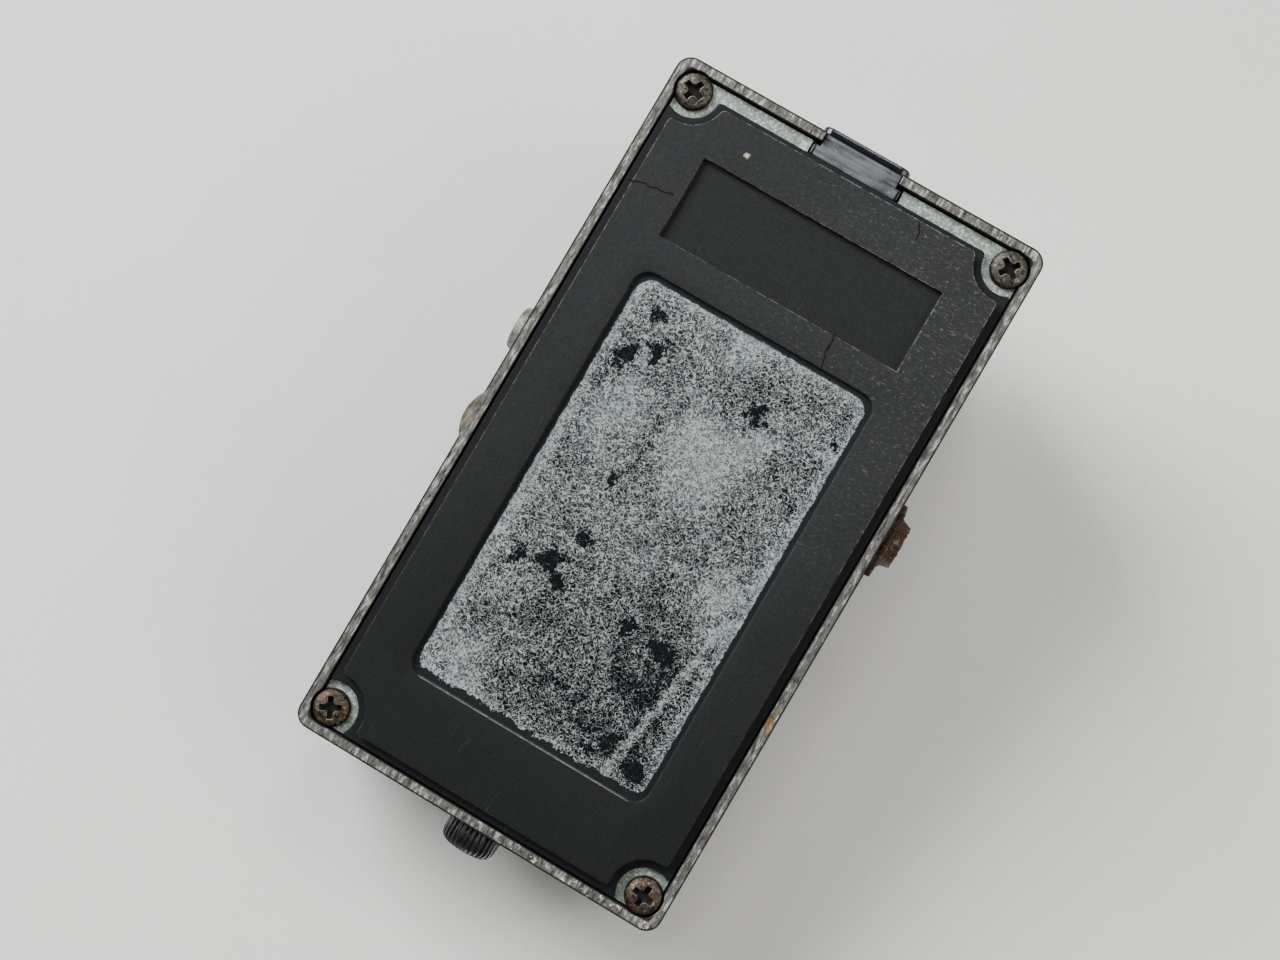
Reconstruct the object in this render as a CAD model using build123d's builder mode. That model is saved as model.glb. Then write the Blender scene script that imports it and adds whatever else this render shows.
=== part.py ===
from build123d import *
from math import asin, atan2, cos, degrees, hypot, pi, radians, sin, tan
import os

# Compact guitar effects pedal, in millimetres. It stands on its rubber base at Z = 0, +Z up.
# The player stands on the -Y side, where the thumbscrew is; the supply socket is on the +Y side.

os.makedirs("parts", exist_ok=True)

# ---------------------------------------------------------------- driving dimensions
body_width = 66.0  # X, over the side walls
body_length = 122.6  # Y, over the end walls
deck_height = 46.5  # floor to the control deck's borders
control_length = 55.3  # rear section that carries the controls
front_wall_height = 21.5  # floor to the top of the front wall
corner_radius = 2.6
wall = 2.4
rim_wall = 1.7  # the wall where the bottom plate is let into it
deck_thickness = 2.2
panel_depth = 1.5  # the knobs stand in a shallow recess of the deck
border = 3.5  # width of the deck's border round that recess
shelf_thickness = 2.0

rubber_thickness = 2.4
rubber_proud = 1.2  # how far the rubber stands below the casting's rim
rubber_skirt = 0.9  # thickness of the rubber's thin outer edge
plate_thickness = 1.2
plate_gap = 0.3
screw_inset_x = 4.4  # bottom screws, in from the side walls' outer faces
screw_inset_y = 4.7
screw_shank_radius = 1.5
screw_head_radius = 3.1
screw_head_height = 1.5

hinge_height = 33.0
barrel_radius = 5.5
treadle_thickness = 2.0
hinge_gap = 0.5
hinge_pin_radius = 1.6
running_clearance = 0.05
treadle_front_height = 30.5
press_angle = 2.5
treadle_rubber_thickness = 2.2

thumbscrew_height = 15.0
thumbscrew_radius = 4.75
thumbscrew_length = 5.7
thumbscrew_travel = 4.0
shank_radius = 2.0
point_radius = 1.5
washer_thickness = 0.5

battery_length = 48.5
battery_depth = 26.5
battery_height = 17.5
battery_pad_thickness = 1.0

jack_from_rear = 50.3  # jack axis, in from the rear wall's outer face
jack_height = 17.5
jack_bore_radius = 3.25
jack_bushing_radius = 4.5
jack_body_length = 24.6
jack_body_side = 12.0
jack_stand_out = 3.5  # bushing beyond the side wall
jack_nut_across = 12.0
jack_nut_height = 2.0
jack_washer_height = 0.6

socket_width = 13.6
socket_height = 8.4
socket_bore_radius = 3.0
socket_pin_radius = 1.05
socket_lip = 1.2

pot_pitch = 19.0
pot_from_rear = 24.0
pot_radius = 8.2
pot_height = 7.8
pot_bushing_radius = 3.5
shaft_radius = 3.0
knob_radius = 7.0
knob_top_height = 59.0
knob_count = 3

board_thickness = 1.2
board_height = 6.0

# ---------------------------------------------------------------- places worked out from them
half_width = body_width / 2
half_length = body_length / 2
rear_y = half_length
front_y = -half_length
deck_front_y = rear_y - control_length
inner_half_width = half_width - wall
inner_front_y = front_y + wall
inner_rear_y = rear_y - wall

rim_z = rubber_proud
plate_z = rubber_thickness
plate_top_z = plate_z + plate_thickness
floor_z = plate_top_z + 2.1  # upper face of the battery bay's floor
panel_z = deck_height - panel_depth
ceiling_z = panel_z - deck_thickness
shelf_under_z = jack_height + jack_body_side / 2 + 0.5  # the shelf passes over the jacks
shelf_height = shelf_under_z + shelf_thickness

plate_half_width = half_width - rim_wall - plate_gap
plate_front_y = front_y + rim_wall + plate_gap
plate_rear_y = rear_y - rim_wall - plate_gap
screw_x = half_width - screw_inset_x
screw_y = half_length - screw_inset_y
screw_places = [(x, y) for x in (-screw_x, screw_x) for y in (-screw_y, screw_y)]

pivot_y = deck_front_y - hinge_gap - barrel_radius
pivot_z = hinge_height
reach = pivot_y - front_y
slope = atan2(pivot_z - treadle_front_height, reach)
slope += asin(barrel_radius / hypot(reach, pivot_z - treadle_front_height))
skirt_gap = 0.7
side_wall_height = hinge_height - barrel_radius - 0.3  # where the walls meet the control section


def wall_top(y):
    """Height of the side wall's top edge at y."""
    share = (y - front_y) / (deck_front_y - front_y)
    return front_wall_height + share * (side_wall_height - front_wall_height)


def treadle_top(y):
    """Height of the treadle's upper face at y."""
    return treadle_front_height + (y - front_y) * tan(slope)


def treadle_under(y):
    """Height of the treadle's lower face at y."""
    return treadle_top(y) - treadle_thickness / cos(slope)


def skirt_bottom(y):
    """Height of the treadle skirt's lower edge: it clears the wall when the treadle is pressed."""
    return wall_top(y) + skirt_gap + (pivot_y - y) * tan(radians(press_angle))


def slab(x, y, z, mode=Mode.ADD):
    """A box between two corners: x, y and z are (low, high) pairs."""
    with Locations(((x[0] + x[1]) / 2, (y[0] + y[1]) / 2, (z[0] + z[1]) / 2)):
        return Box(x[1] - x[0], y[1] - y[0], z[1] - z[0], mode=mode)


def post(place, radius, height, mode=Mode.ADD):
    """An upright cylinder that stands on the point place."""
    with Locations(place):
        return Cylinder(radius, height, align=(Align.CENTER, Align.CENTER, Align.MIN), mode=mode)


# thumbscrew: at rest it is slackened off, so that the treadle can be opened
cup_radius = thumbscrew_radius + 0.45
cup_wall = 1.2
cup_floor_y = front_y + thumbscrew_travel + washer_thickness
cup_end_y = cup_floor_y + 1.8
tongue_y = cup_end_y + 5.0  # front face of the tongue that carries the guide bush
tongue_depth = 3.0
point_end_y = tongue_y - 2.4
shank_end_y = tongue_y - 0.2 - thumbscrew_travel
knob_inner_y = front_y

# battery bay
step_wall = 2.0
battery_front_y = tongue_y + tongue_depth + 1.4
battery_rear_y = battery_front_y + battery_depth
bay_rear_y = battery_rear_y + 1.1
battery_z = floor_z + battery_pad_thickness
lead_x = inner_half_width - 3.0
snap_x = (lead_x - 6.4, lead_x - 2.0)
battery_high_x = snap_x[0] - 0.2
battery_low_x = battery_high_x - battery_length
battery_mid_y = (battery_front_y + battery_rear_y) / 2
battery_mid_z = battery_z + battery_height / 2
terminal_pitch = 12.7

# hinge ears
ear_thickness = 2.6
ear_radius = 3.2
skirt_inner_x = half_width - treadle_thickness
ear_outer_x = skirt_inner_x - 0.4
ear_inner_x = ear_outer_x - ear_thickness
bush_radius = 2.2

pin_head_radius = 2.6
pin_head_height = 1.0

# treadle details
treadle_edge_radius = 1.3
tongue_half_width = 6.0
bush_half_width = 3.6
bush_low_z = 12.3
bush_high_z = 20.4
tongue_low_z = bush_low_z - 0.8
foot_radius = 3.0
spring_seat_gap = 1.5
tread_side_margin = 3.5
tread_front_margin = 4.0
tread_rear_margin = 6.0
groove_pitch = 4.8
groove_width = 1.6
groove_depth = 0.8
knurl_count = 36
knurl_radius = 0.28

# sockets
jack_y = rear_y - jack_from_rear
jack_inner_x = inner_half_width - jack_body_length
board_top_z = board_height + board_thickness
socket_half_width = socket_width / 2
socket_inner_y = rear_y - 11.3
socket_top_z = 13.4

socket_flange_width = 15.8
socket_flange_y = inner_rear_y - 1.7
socket_flange_top_z = socket_top_z + 1.0
socket_lip_width = 15.4

socket_low_z = rim_z + 0.8

# board posts
board_front_y = bay_rear_y + step_wall + 3.0
board_rear_y = socket_inner_y - 3.0
board_half_width = inner_half_width - 3.6
post_x = inner_half_width - 8.6
front_post_y = board_front_y + 4.0
rear_post_y = board_rear_y - 7.0
post_radius = 2.6
board_screw_radius = 1.1
board_screw_head_radius = 2.3


# small inner pieces
lead_bend = 1.1
lead_height = 16.4
lead_pitch = 1.8
lead_radius = 0.7
board_lead_y = front_post_y + 6.0
grommet_radius = 2.6
pot_washer_height = 0.5
pot_nut_height = 1.8
pot_nut_across = 9.6
shaft_top_z = knob_top_height - 3.0
knob_bottom_z = panel_z + 0.8
knob_flutes = 18

# rubber base
rubber_half_width = plate_half_width
rubber_front_y = plate_front_y
rubber_rear_y = socket_flange_y - 0.2
rubber_edge = 1.4
rubber_screw_clearance = screw_head_radius + 1.3
window_half_width = half_width - 11.5
window_front_y = front_y + 16.3
window_rear_y = rear_y - 33.1
window_depth = 0.8
plaque_front_y = rear_y - 27.6
plaque_rear_y = rear_y - 13.4
plaque_depth = 0.9
label_margin = 1.0
label_thickness = 0.12

# controls
pot_y = rear_y - pot_from_rear
pot_places = [((i - (knob_count - 1) / 2) * pot_pitch, pot_y) for i in range(knob_count)]
pot_names = ["left", "centre", "right"]
lamp_y = deck_front_y + 10.0
lamp_radius = 2.5
control_board_top_z = ceiling_z - pot_height - 2.4

# treadle switch
switch_y = pivot_y - 11.5
switch_board_z = shelf_height + 1.4
switch_board_thickness = 1.0
switch_base_z = switch_board_z + switch_board_thickness
switch_side = 6.0
switch_screw_x = 9.0
switch_screw_radius = 0.8
switch_height = 3.0
plunger_radius = 1.7
plunger_top_z = switch_base_z + switch_height + 0.6
plunger_travel = 0.3

# treadle spring
spring_x = -inner_half_width + 12.6
spring_y = cup_end_y + 2.0
spring_radius = 4.6
spring_wire_radius = 0.5
spring_turns = 6
spring_seat_height = 3.0

# ---------------------------------------------------------------- body casting
with BuildPart() as body_casting:
    with BuildSketch(Plane.YZ):
        Polygon(
            (front_y, rim_z),
            (rear_y, rim_z),
            (rear_y, deck_height - 4.0),
            (rear_y - 7.0, deck_height),
            (deck_front_y, deck_height),
            (deck_front_y, wall_top(deck_front_y)),
            (front_y, wall_top(front_y)),
            align=None,
        )
    extrude(amount=half_width, both=True)
    fillet(body_casting.edges().filter_by(Axis.Z), radius=corner_radius)
    deck_edges = body_casting.faces().sort_by(Axis.Z)[-1].edges()
    fillet(deck_edges, radius=1.2)
    # recess for the bottom plate, then the hollow over it
    with BuildSketch(Plane.XY.offset(rim_z)):
        with Locations((0, (plate_front_y + plate_rear_y) / 2)):
            RectangleRounded(
                2 * (plate_half_width + plate_gap),
                plate_rear_y - plate_front_y + 2 * plate_gap,
                1.5,
            )
    extrude(amount=plate_top_z - rim_z, mode=Mode.SUBTRACT)
    # the rim is relieved round each screw head
    for x, y in screw_places:
        post((x, y, rim_z), screw_head_radius + 0.2, plate_z - rim_z, mode=Mode.SUBTRACT)
    inside = (-inner_half_width, inner_half_width)
    under_shelf = (bay_rear_y + step_wall, deck_front_y + wall)
    cut = Mode.SUBTRACT
    slab(inside, under_shelf, (plate_top_z, shelf_under_z), mode=cut)
    slab(inside, (deck_front_y + wall, inner_rear_y), (plate_top_z, ceiling_z), mode=cut)
    slab(inside, (inner_front_y, bay_rear_y), (floor_z, deck_height), mode=cut)
    slab(inside, (bay_rear_y, deck_front_y), (shelf_height, deck_height), mode=cut)
    slab(inside, (bay_rear_y, deck_front_y), (shelf_under_z, shelf_height))
    # control panel recess
    with BuildSketch(Plane.XY.offset(panel_z)):
        with Locations((0, (deck_front_y + rear_y - 3.5) / 2)):
            RectangleRounded(body_width - 2 * border, control_length - 3.5 - 2 * border, 2.5)
    extrude(amount=deck_height, mode=Mode.SUBTRACT)
    # corner columns for the bottom screws
    for x, y in screw_places:
        post((x, y, plate_top_z), 3.9, 9.0)
        post((x, y, plate_top_z), screw_shank_radius, 8.0, mode=cut)
    # cup for the thumbscrew's knob, with the thread behind it
    cup_top_z = thumbscrew_height + cup_radius + cup_wall
    with BuildSketch(Plane.XZ.offset(-front_y - wall / 2)):
        with Locations((0, thumbscrew_height)):
            Circle(cup_radius + cup_wall)
    extrude(amount=-(cup_end_y - front_y - wall / 2))
    with BuildSketch(Plane.XZ.offset(-front_y)):
        with Locations((0, thumbscrew_height)):
            Circle(cup_radius)
    extrude(amount=-(cup_floor_y - front_y), mode=Mode.SUBTRACT)
    with BuildSketch(Plane.XZ.offset(-front_y)):
        with Locations((0, thumbscrew_height)):
            Circle(shank_radius + running_clearance)
    extrude(amount=-(cup_end_y - front_y + 1.0), mode=Mode.SUBTRACT)
    # hinge ears, standing on the shelf just inside the treadle's skirts
    for side in (-1, 1):
        start = ear_inner_x if side > 0 else -ear_outer_x
        with BuildSketch(Plane.YZ.offset(start)):
            with Locations((pivot_y, pivot_z)):
                Circle(ear_radius)
            with Locations((pivot_y, (pivot_z + shelf_under_z + 0.5) / 2)):
                Rectangle(2 * ear_radius, pivot_z - shelf_under_z - 0.5)
            with Locations((pivot_y, pivot_z)):
                Circle(bush_radius, mode=Mode.SUBTRACT)
        extrude(amount=ear_thickness)
    # spring seat in the bay
    post((spring_x, spring_y, floor_z - 1.0), spring_radius - 1.0, spring_seat_height + 1.0)
    # posts and lugs for the main board
    for side in (-1, 1):
        x = side * post_x
        post((x, front_post_y, board_top_z), post_radius, shelf_under_z - board_top_z + 0.5)
        lug = sorted((x - side * post_radius, side * (inner_half_width + 0.5)))
        slab(lug, (rear_post_y - 3.0, rear_post_y + 3.0), (board_top_z, board_top_z + 5.0))
        post((x, front_post_y, board_top_z), board_screw_radius, 4.0, mode=cut)
        post((x, rear_post_y, board_top_z), board_screw_radius, 4.0, mode=cut)
    # bosses for the switch board, on the shelf
    for x in (-switch_screw_x, switch_screw_x):
        post((x, switch_y, shelf_height - 1.0), 2.0, switch_board_z - shelf_height + 1.0)
        post((x, switch_y, shelf_height - 1.0), switch_screw_radius, 4.0, mode=cut)
    # holes through the shelf and the step wall for the leads
    with Locations((5.0, switch_y + 3.0, shelf_height)):
        Cylinder(2.0, 3 * shelf_thickness, mode=Mode.SUBTRACT)
    with Locations((lead_x, bay_rear_y + step_wall / 2, lead_height)):
        Cylinder(grommet_radius, 2 * step_wall, rotation=(90, 0, 0), mode=Mode.SUBTRACT)
    # jack holes in the side walls
    with Locations((0, jack_y, jack_height)):
        Cylinder(jack_bushing_radius + 0.1, body_width + 2, rotation=(0, 90, 0), mode=Mode.SUBTRACT)
    # notch for the supply socket in the rear wall
    notch_x = (-socket_half_width - 0.2, socket_half_width + 0.2)
    slab(notch_x, (inner_rear_y - 1, rear_y + 1), (rim_z - 1, socket_top_z + 0.2), mode=cut)
    # control holes in the deck
    with Locations(*[(x, y, ceiling_z) for x, y in pot_places]):
        Cylinder(pot_bushing_radius + 0.1, 3 * deck_thickness, mode=Mode.SUBTRACT)
    with Locations((0, lamp_y, ceiling_z)):
        Cylinder(lamp_radius + 1.0, 3 * deck_thickness, mode=Mode.SUBTRACT)
    # cast lug low on the right wall
    with BuildSketch(Plane.XY.offset(rim_z)):
        with Locations((half_width - 6.0, deck_front_y - 11.5)):
            Circle(7.2)
        with Locations((half_width - 7.5, deck_front_y - 11.5)):
            Rectangle(13.0, 20.0, mode=Mode.SUBTRACT)
    extrude(amount=5.0)
body_casting.part.label = "body_casting"
export_step(body_casting.part, "parts/body_casting.step")

# ---------------------------------------------------------------- underside
with BuildPart() as bottom_plate:
    with BuildSketch(Plane.XY.offset(plate_z)):
        with Locations((0, (plate_front_y + plate_rear_y) / 2)):
            RectangleRounded(2 * plate_half_width, plate_rear_y - plate_front_y, 1.2)
        with Locations((0, plate_rear_y)):
            Rectangle(socket_flange_width + 0.6, 2 * (plate_rear_y - socket_flange_y + 0.4),
                      mode=Mode.SUBTRACT)
        with Locations(*screw_places):
            Circle(screw_shank_radius + 0.2, mode=Mode.SUBTRACT)
    extrude(amount=plate_thickness)
bottom_plate.part.label = "bottom_plate"
export_step(bottom_plate.part, "parts/bottom_plate.step")

with BuildPart() as base_rubber:
    # thin skirt that lies on the plate, then the thick pad inside it
    for inset, height in ((0.0, rubber_skirt), (rubber_edge, rubber_thickness)):
        low_y, high_y = rubber_front_y + inset, rubber_rear_y - inset * 0.7
        with BuildSketch(Plane.XY.offset(plate_z)) as outline:
            with Locations((0, (low_y + high_y) / 2)):
                Rectangle(2 * (rubber_half_width - inset), high_y - low_y)
            with Locations(*screw_places):
                Circle(rubber_screw_clearance + inset, mode=Mode.SUBTRACT)
            for side in (-1, 1):
                for end in (-1, 1):
                    corner = (side * (screw_x + 5.0), end * (screw_y + 5.0))
                    with Locations(corner):
                        Rectangle(10.0, 10.0, mode=Mode.SUBTRACT)
            fillet(outline.vertices(), radius=0.9)
        extrude(amount=-height)
    pad_rim = base_rubber.faces().sort_by(Axis.Z)[0].outer_wire().edges()
    fillet(pad_rim, radius=0.6)
    with BuildSketch():
        with Locations((0, (window_front_y + window_rear_y) / 2)):
            RectangleRounded(2 * window_half_width, window_rear_y - window_front_y, 2.8)
    extrude(amount=window_depth, mode=Mode.SUBTRACT)
    with BuildSketch():
        with Locations((0, (plaque_front_y + plaque_rear_y) / 2)):
            Rectangle(2 * window_half_width, plaque_rear_y - plaque_front_y)
    extrude(amount=plaque_depth, mode=Mode.SUBTRACT)
base_rubber.part.label = "base_rubber"
export_step(base_rubber.part, "parts/base_rubber.step")

with BuildPart() as label_residue:
    with BuildSketch(Plane.XY.offset(window_depth)):
        with Locations((0, (window_front_y + window_rear_y) / 2)):
            RectangleRounded(2 * window_half_width - 2 * label_margin,
                             window_rear_y - window_front_y - 2 * label_margin, 2.2)
    extrude(amount=-label_thickness)
label_residue.part.label = "label_residue"
export_step(label_residue.part, "parts/label_residue.step")

with BuildPart() as bottom_screws:
    for x, y in screw_places:
        with BuildSketch(Plane.XY.offset(plate_z)):
            with Locations((x, y)):
                Circle(screw_head_radius)
        extrude(amount=-screw_head_height)
        rim = bottom_screws.faces().sort_by(Axis.Z)[0].edges().filter_by(GeomType.CIRCLE)
        fillet(rim, radius=0.7)
        for turn in (20, 110):
            with BuildSketch(Plane.XY.offset(plate_z - screw_head_height)):
                with Locations(Location((x, y), turn)):
                    Rectangle(3.6, 0.8)
            extrude(amount=1.0, taper=12, mode=Mode.SUBTRACT)
        post((x, y, plate_z), screw_shank_radius, plate_thickness + 7.0)
bottom_screws.part.label = "bottom_screws"
export_step(bottom_screws.part, "parts/bottom_screws.step")

# ---------------------------------------------------------------- treadle
tangent_y = pivot_y - barrel_radius * sin(slope)
tangent_z = pivot_z + barrel_radius * cos(slope)
under_radius = barrel_radius - treadle_thickness
front_inner_y = front_y + treadle_thickness
with BuildPart() as treadle:
    with BuildSketch(Plane.YZ):
        Polygon(
            (front_y, treadle_front_height),
            (tangent_y, tangent_z),
            (pivot_y, pivot_z),
            (pivot_y, skirt_bottom(pivot_y)),
            (front_y, skirt_bottom(front_y)),
            align=None,
        )
    extrude(amount=half_width, both=True)
    fillet(treadle.edges().filter_by(Axis.Z).group_by(Axis.Y)[0], radius=corner_radius)
    top = treadle.faces().filter_by(lambda f: f.normal_at().Z > 0.9).sort_by(Axis.Z)[-1]
    fillet(top.edges().sort_by(Axis.Y)[:-1], radius=treadle_edge_radius)
    # the hinge barrel, rounded at its ends like the edges that run into it
    with BuildSketch(Plane.YZ.offset(-half_width)):
        with Locations((pivot_y, pivot_z)):
            Circle(barrel_radius)
    barrel = extrude(amount=body_width, mode=Mode.PRIVATE)
    ends = barrel.edges().filter_by(GeomType.CIRCLE)
    add(barrel.fillet(treadle_edge_radius, ends))
    # the hollow under it
    with BuildSketch(Plane.YZ):
        Polygon(
            (front_inner_y, treadle_under(front_inner_y)),
            (pivot_y - under_radius * sin(slope), pivot_z + under_radius * cos(slope)),
            (pivot_y + under_radius, pivot_z),
            (pivot_y + under_radius, pivot_z - 2 * barrel_radius),
            (front_inner_y, pivot_z - 2 * barrel_radius),
            align=None,
        )
        with Locations((pivot_y, pivot_z)):
            Circle(under_radius)
    extrude(amount=skirt_inner_x, both=True, mode=Mode.SUBTRACT)
    below_curl = (pivot_z - 2 * barrel_radius, pivot_z - 1.5)
    inner_span = (-skirt_inner_x, skirt_inner_x)
    slab(inner_span, (pivot_y, pivot_y + 2 * barrel_radius), below_curl, mode=Mode.SUBTRACT)
    for side in (-1, 1):
        slot_x = sorted((side * (ear_inner_x - 0.4), side * skirt_inner_x))
        slot_y = (pivot_y + 1.5, pivot_y + 2 * barrel_radius)
        slab(slot_x, slot_y, (shelf_height, deck_height), mode=Mode.SUBTRACT)
    # tongue for the guide bush
    tongue_span = (tongue_y, tongue_y + tongue_depth)
    tongue_top = treadle_under(tongue_y) + 0.5
    slab((-tongue_half_width, tongue_half_width), tongue_span, (tongue_low_z, tongue_top))
    slab((-bush_half_width, bush_half_width), tongue_span, (bush_low_z, bush_high_z),
         mode=Mode.SUBTRACT)
    # seats for the spring and for the switch foot
    spring_top_z = treadle_under(spring_y) - spring_seat_gap
    post((spring_x, spring_y, spring_top_z), spring_radius + 1.0, spring_seat_gap + 1.0)
    post((spring_x, spring_y, spring_top_z - 2.0), spring_radius - 1.0, 3.0)
    foot_seat_z = treadle_under(switch_y) - 1.0
    post((0, switch_y, foot_seat_z), foot_radius + 1.0, 2.0)
    # holes for the hinge pins
    with Locations((0, pivot_y, pivot_z)):
        Cylinder(hinge_pin_radius, body_width + 2, rotation=(0, 90, 0), mode=Mode.SUBTRACT)
    for side in (-1, 1):
        with Locations((side * (half_width - pin_head_height / 2), pivot_y, pivot_z)):
            Cylinder(pin_head_radius, pin_head_height, rotation=(0, 90, 0), mode=Mode.SUBTRACT)
treadle.part.label = "treadle"
export_step(treadle.part, "parts/treadle.step")

# the tread pad lies in the plane of the treadle's upper face
tread_plane = Plane(
    origin=(0, front_y, treadle_front_height),
    x_dir=(1, 0, 0),
    z_dir=(0, -sin(slope), cos(slope)),
)
tread_length = hypot(tangent_y - front_y, tangent_z - treadle_front_height)
with BuildPart() as treadle_rubber:
    with BuildSketch(tread_plane):
        with Locations((0, (tread_front_margin + tread_length - tread_rear_margin) / 2)):
            RectangleRounded(body_width - 2 * tread_side_margin,
                             tread_length - tread_front_margin - tread_rear_margin, 3.0)
    extrude(amount=treadle_rubber_thickness)
    pad_top = treadle_rubber.faces().filter_by(lambda f: f.normal_at().Z > 0.9).sort_by(Axis.Z)[-1]
    fillet(pad_top.edges(), radius=0.5)
    with BuildSketch(tread_plane.offset(treadle_rubber_thickness - groove_depth)):
        first = tread_front_margin + groove_pitch
        count = int((tread_length - tread_front_margin - tread_rear_margin) / groove_pitch) - 1
        with Locations(*[(0, first + i * groove_pitch) for i in range(count)]):
            Rectangle(body_width - 2 * tread_side_margin - 7.0, groove_width)
    extrude(amount=groove_depth + 1, mode=Mode.SUBTRACT)
treadle_rubber.part.label = "treadle_rubber"
export_step(treadle_rubber.part, "parts/treadle_rubber.step")

with BuildPart() as guide_bush:
    slab((-bush_half_width, bush_half_width), tongue_span, (bush_low_z, bush_high_z))
    slot_half_width = point_radius + 0.4
    slab((-slot_half_width, slot_half_width), (tongue_y - 1, tongue_y + tongue_depth + 1),
         (bush_low_z + 0.9, bush_high_z - 1.1), mode=Mode.SUBTRACT)
guide_bush.part.label = "guide_bush"
export_step(guide_bush.part, "parts/guide_bush.step")

with BuildPart() as switch_foot:
    # it stops just short of the plunger when the treadle is down
    drop = (pivot_y - switch_y + foot_radius) * tan(radians(press_angle))
    foot_z = plunger_top_z + drop + 0.1
    post((0, switch_y, foot_z), foot_radius, foot_seat_z - foot_z)
switch_foot.part.label = "switch_foot"
export_step(switch_foot.part, "parts/switch_foot.step")

with BuildPart() as treadle_spring:
    coil_height = spring_top_z - floor_z - 2 * spring_wire_radius
    with BuildLine():
        coil = Helix(coil_height / spring_turns, coil_height, spring_radius,
                     center=(spring_x, spring_y, floor_z + spring_wire_radius))
    with BuildSketch(Plane(origin=coil @ 0, z_dir=coil % 0)):
        Circle(spring_wire_radius)
    sweep(is_frenet=True)
treadle_spring.part.label = "treadle_spring"
export_step(treadle_spring.part, "parts/treadle_spring.step")

with BuildPart() as hinge_pins:
    for side in (-1, 1):
        inner, outer = ear_inner_x - 0.6, half_width - pin_head_height
        with Locations((side * (inner + outer) / 2, pivot_y, pivot_z)):
            Cylinder(hinge_pin_radius, outer - inner, rotation=(0, 90, 0))
        with Locations((side * (half_width - pin_head_height / 2), pivot_y, pivot_z)):
            Cylinder(pin_head_radius, pin_head_height, rotation=(0, 90, 0))
hinge_pins.part.label = "hinge_pins"
export_step(hinge_pins.part, "parts/hinge_pins.step")

with BuildPart() as hinge_bushes:
    for side in (-1, 1):
        with Locations((side * (ear_inner_x + ear_outer_x) / 2, pivot_y, pivot_z)):
            Cylinder(bush_radius, ear_thickness, rotation=(0, 90, 0))
        with Locations((side * (ear_outer_x + 0.15), pivot_y, pivot_z)):
            Cylinder(bush_radius + 0.7, 0.3, rotation=(0, 90, 0))
    with Locations((0, pivot_y, pivot_z)):
        Cylinder(hinge_pin_radius + running_clearance, body_width, rotation=(0, 90, 0),
                 mode=Mode.SUBTRACT)
hinge_bushes.part.label = "hinge_bushes"
export_step(hinge_bushes.part, "parts/hinge_bushes.step")

# ---------------------------------------------------------------- thumbscrew
front_plane = Plane.XZ.offset(-knob_inner_y)  # its normal points to the front, -Y
with BuildPart() as thumbscrew:
    with BuildSketch(front_plane):
        with Locations((0, thumbscrew_height)):
            Circle(thumbscrew_radius)
            with PolarLocations(thumbscrew_radius + 0.05, knurl_count):
                Circle(knurl_radius, mode=Mode.SUBTRACT)
    extrude(amount=thumbscrew_length)
    with BuildSketch(front_plane.offset(thumbscrew_length)):
        with Locations((0, thumbscrew_height)):
            Circle(thumbscrew_radius - 0.5)
    extrude(amount=0.25, taper=45)
    with BuildSketch(front_plane):
        with Locations((0, thumbscrew_height)):
            Circle(shank_radius)
    extrude(amount=-(shank_end_y - knob_inner_y))
    with BuildSketch(Plane.XZ.offset(-shank_end_y)):
        with Locations((0, thumbscrew_height)):
            Circle(point_radius)
    extrude(amount=-(point_end_y - shank_end_y))
thumbscrew.part.label = "thumbscrew"
export_step(thumbscrew.part, "parts/thumbscrew.step")

with BuildPart() as thumbscrew_washer:
    with BuildSketch(front_plane):
        with Locations((0, thumbscrew_height)):
            Circle(cup_radius - 0.25)
            Circle(shank_radius + running_clearance, mode=Mode.SUBTRACT)
    extrude(amount=-washer_thickness)
thumbscrew_washer.part.label = "thumbscrew_washer"
export_step(thumbscrew_washer.part, "parts/thumbscrew_washer.step")

# ---------------------------------------------------------------- battery bay
battery_x = (battery_low_x, battery_high_x)
battery_y = (battery_front_y, battery_rear_y)
with BuildPart() as battery_pad:
    slab((battery_low_x + 2, battery_high_x - 2), (battery_front_y + 1, battery_rear_y - 1),
         (floor_z, battery_z))
battery_pad.part.label = "battery_pad"
export_step(battery_pad.part, "parts/battery_pad.step")

terminal_places = [(battery_mid_y - terminal_pitch / 2, 2.8), (battery_mid_y + terminal_pitch / 2, 3.9)]
terminal_height = 2.8
with BuildPart() as battery:
    slab(battery_x, battery_y, (battery_z, battery_z + battery_height))
    fillet(battery.edges().filter_by(Axis.X), radius=2.0)
    for y, radius in terminal_places:
        with Locations((battery_high_x + terminal_height / 2, y, battery_mid_z)):
            Cylinder(radius, terminal_height, rotation=(0, 90, 0))
battery.part.label = "battery"
export_step(battery.part, "parts/battery.step")

with BuildPart() as battery_snap:
    slab(snap_x, (battery_front_y + 1.0, battery_rear_y - 1.0), (battery_mid_z - 6.5, battery_mid_z + 6.5))
    fillet(battery_snap.edges().filter_by(Axis.X), radius=4.0)
    for y, radius in terminal_places:
        with Locations((battery_high_x + terminal_height / 2, y, battery_mid_z)):
            Cylinder(radius + 0.1, terminal_height + 0.2, rotation=(0, 90, 0), mode=Mode.SUBTRACT)
battery_snap.part.label = "battery_snap"
export_step(battery_snap.part, "parts/battery_snap.step")

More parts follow.
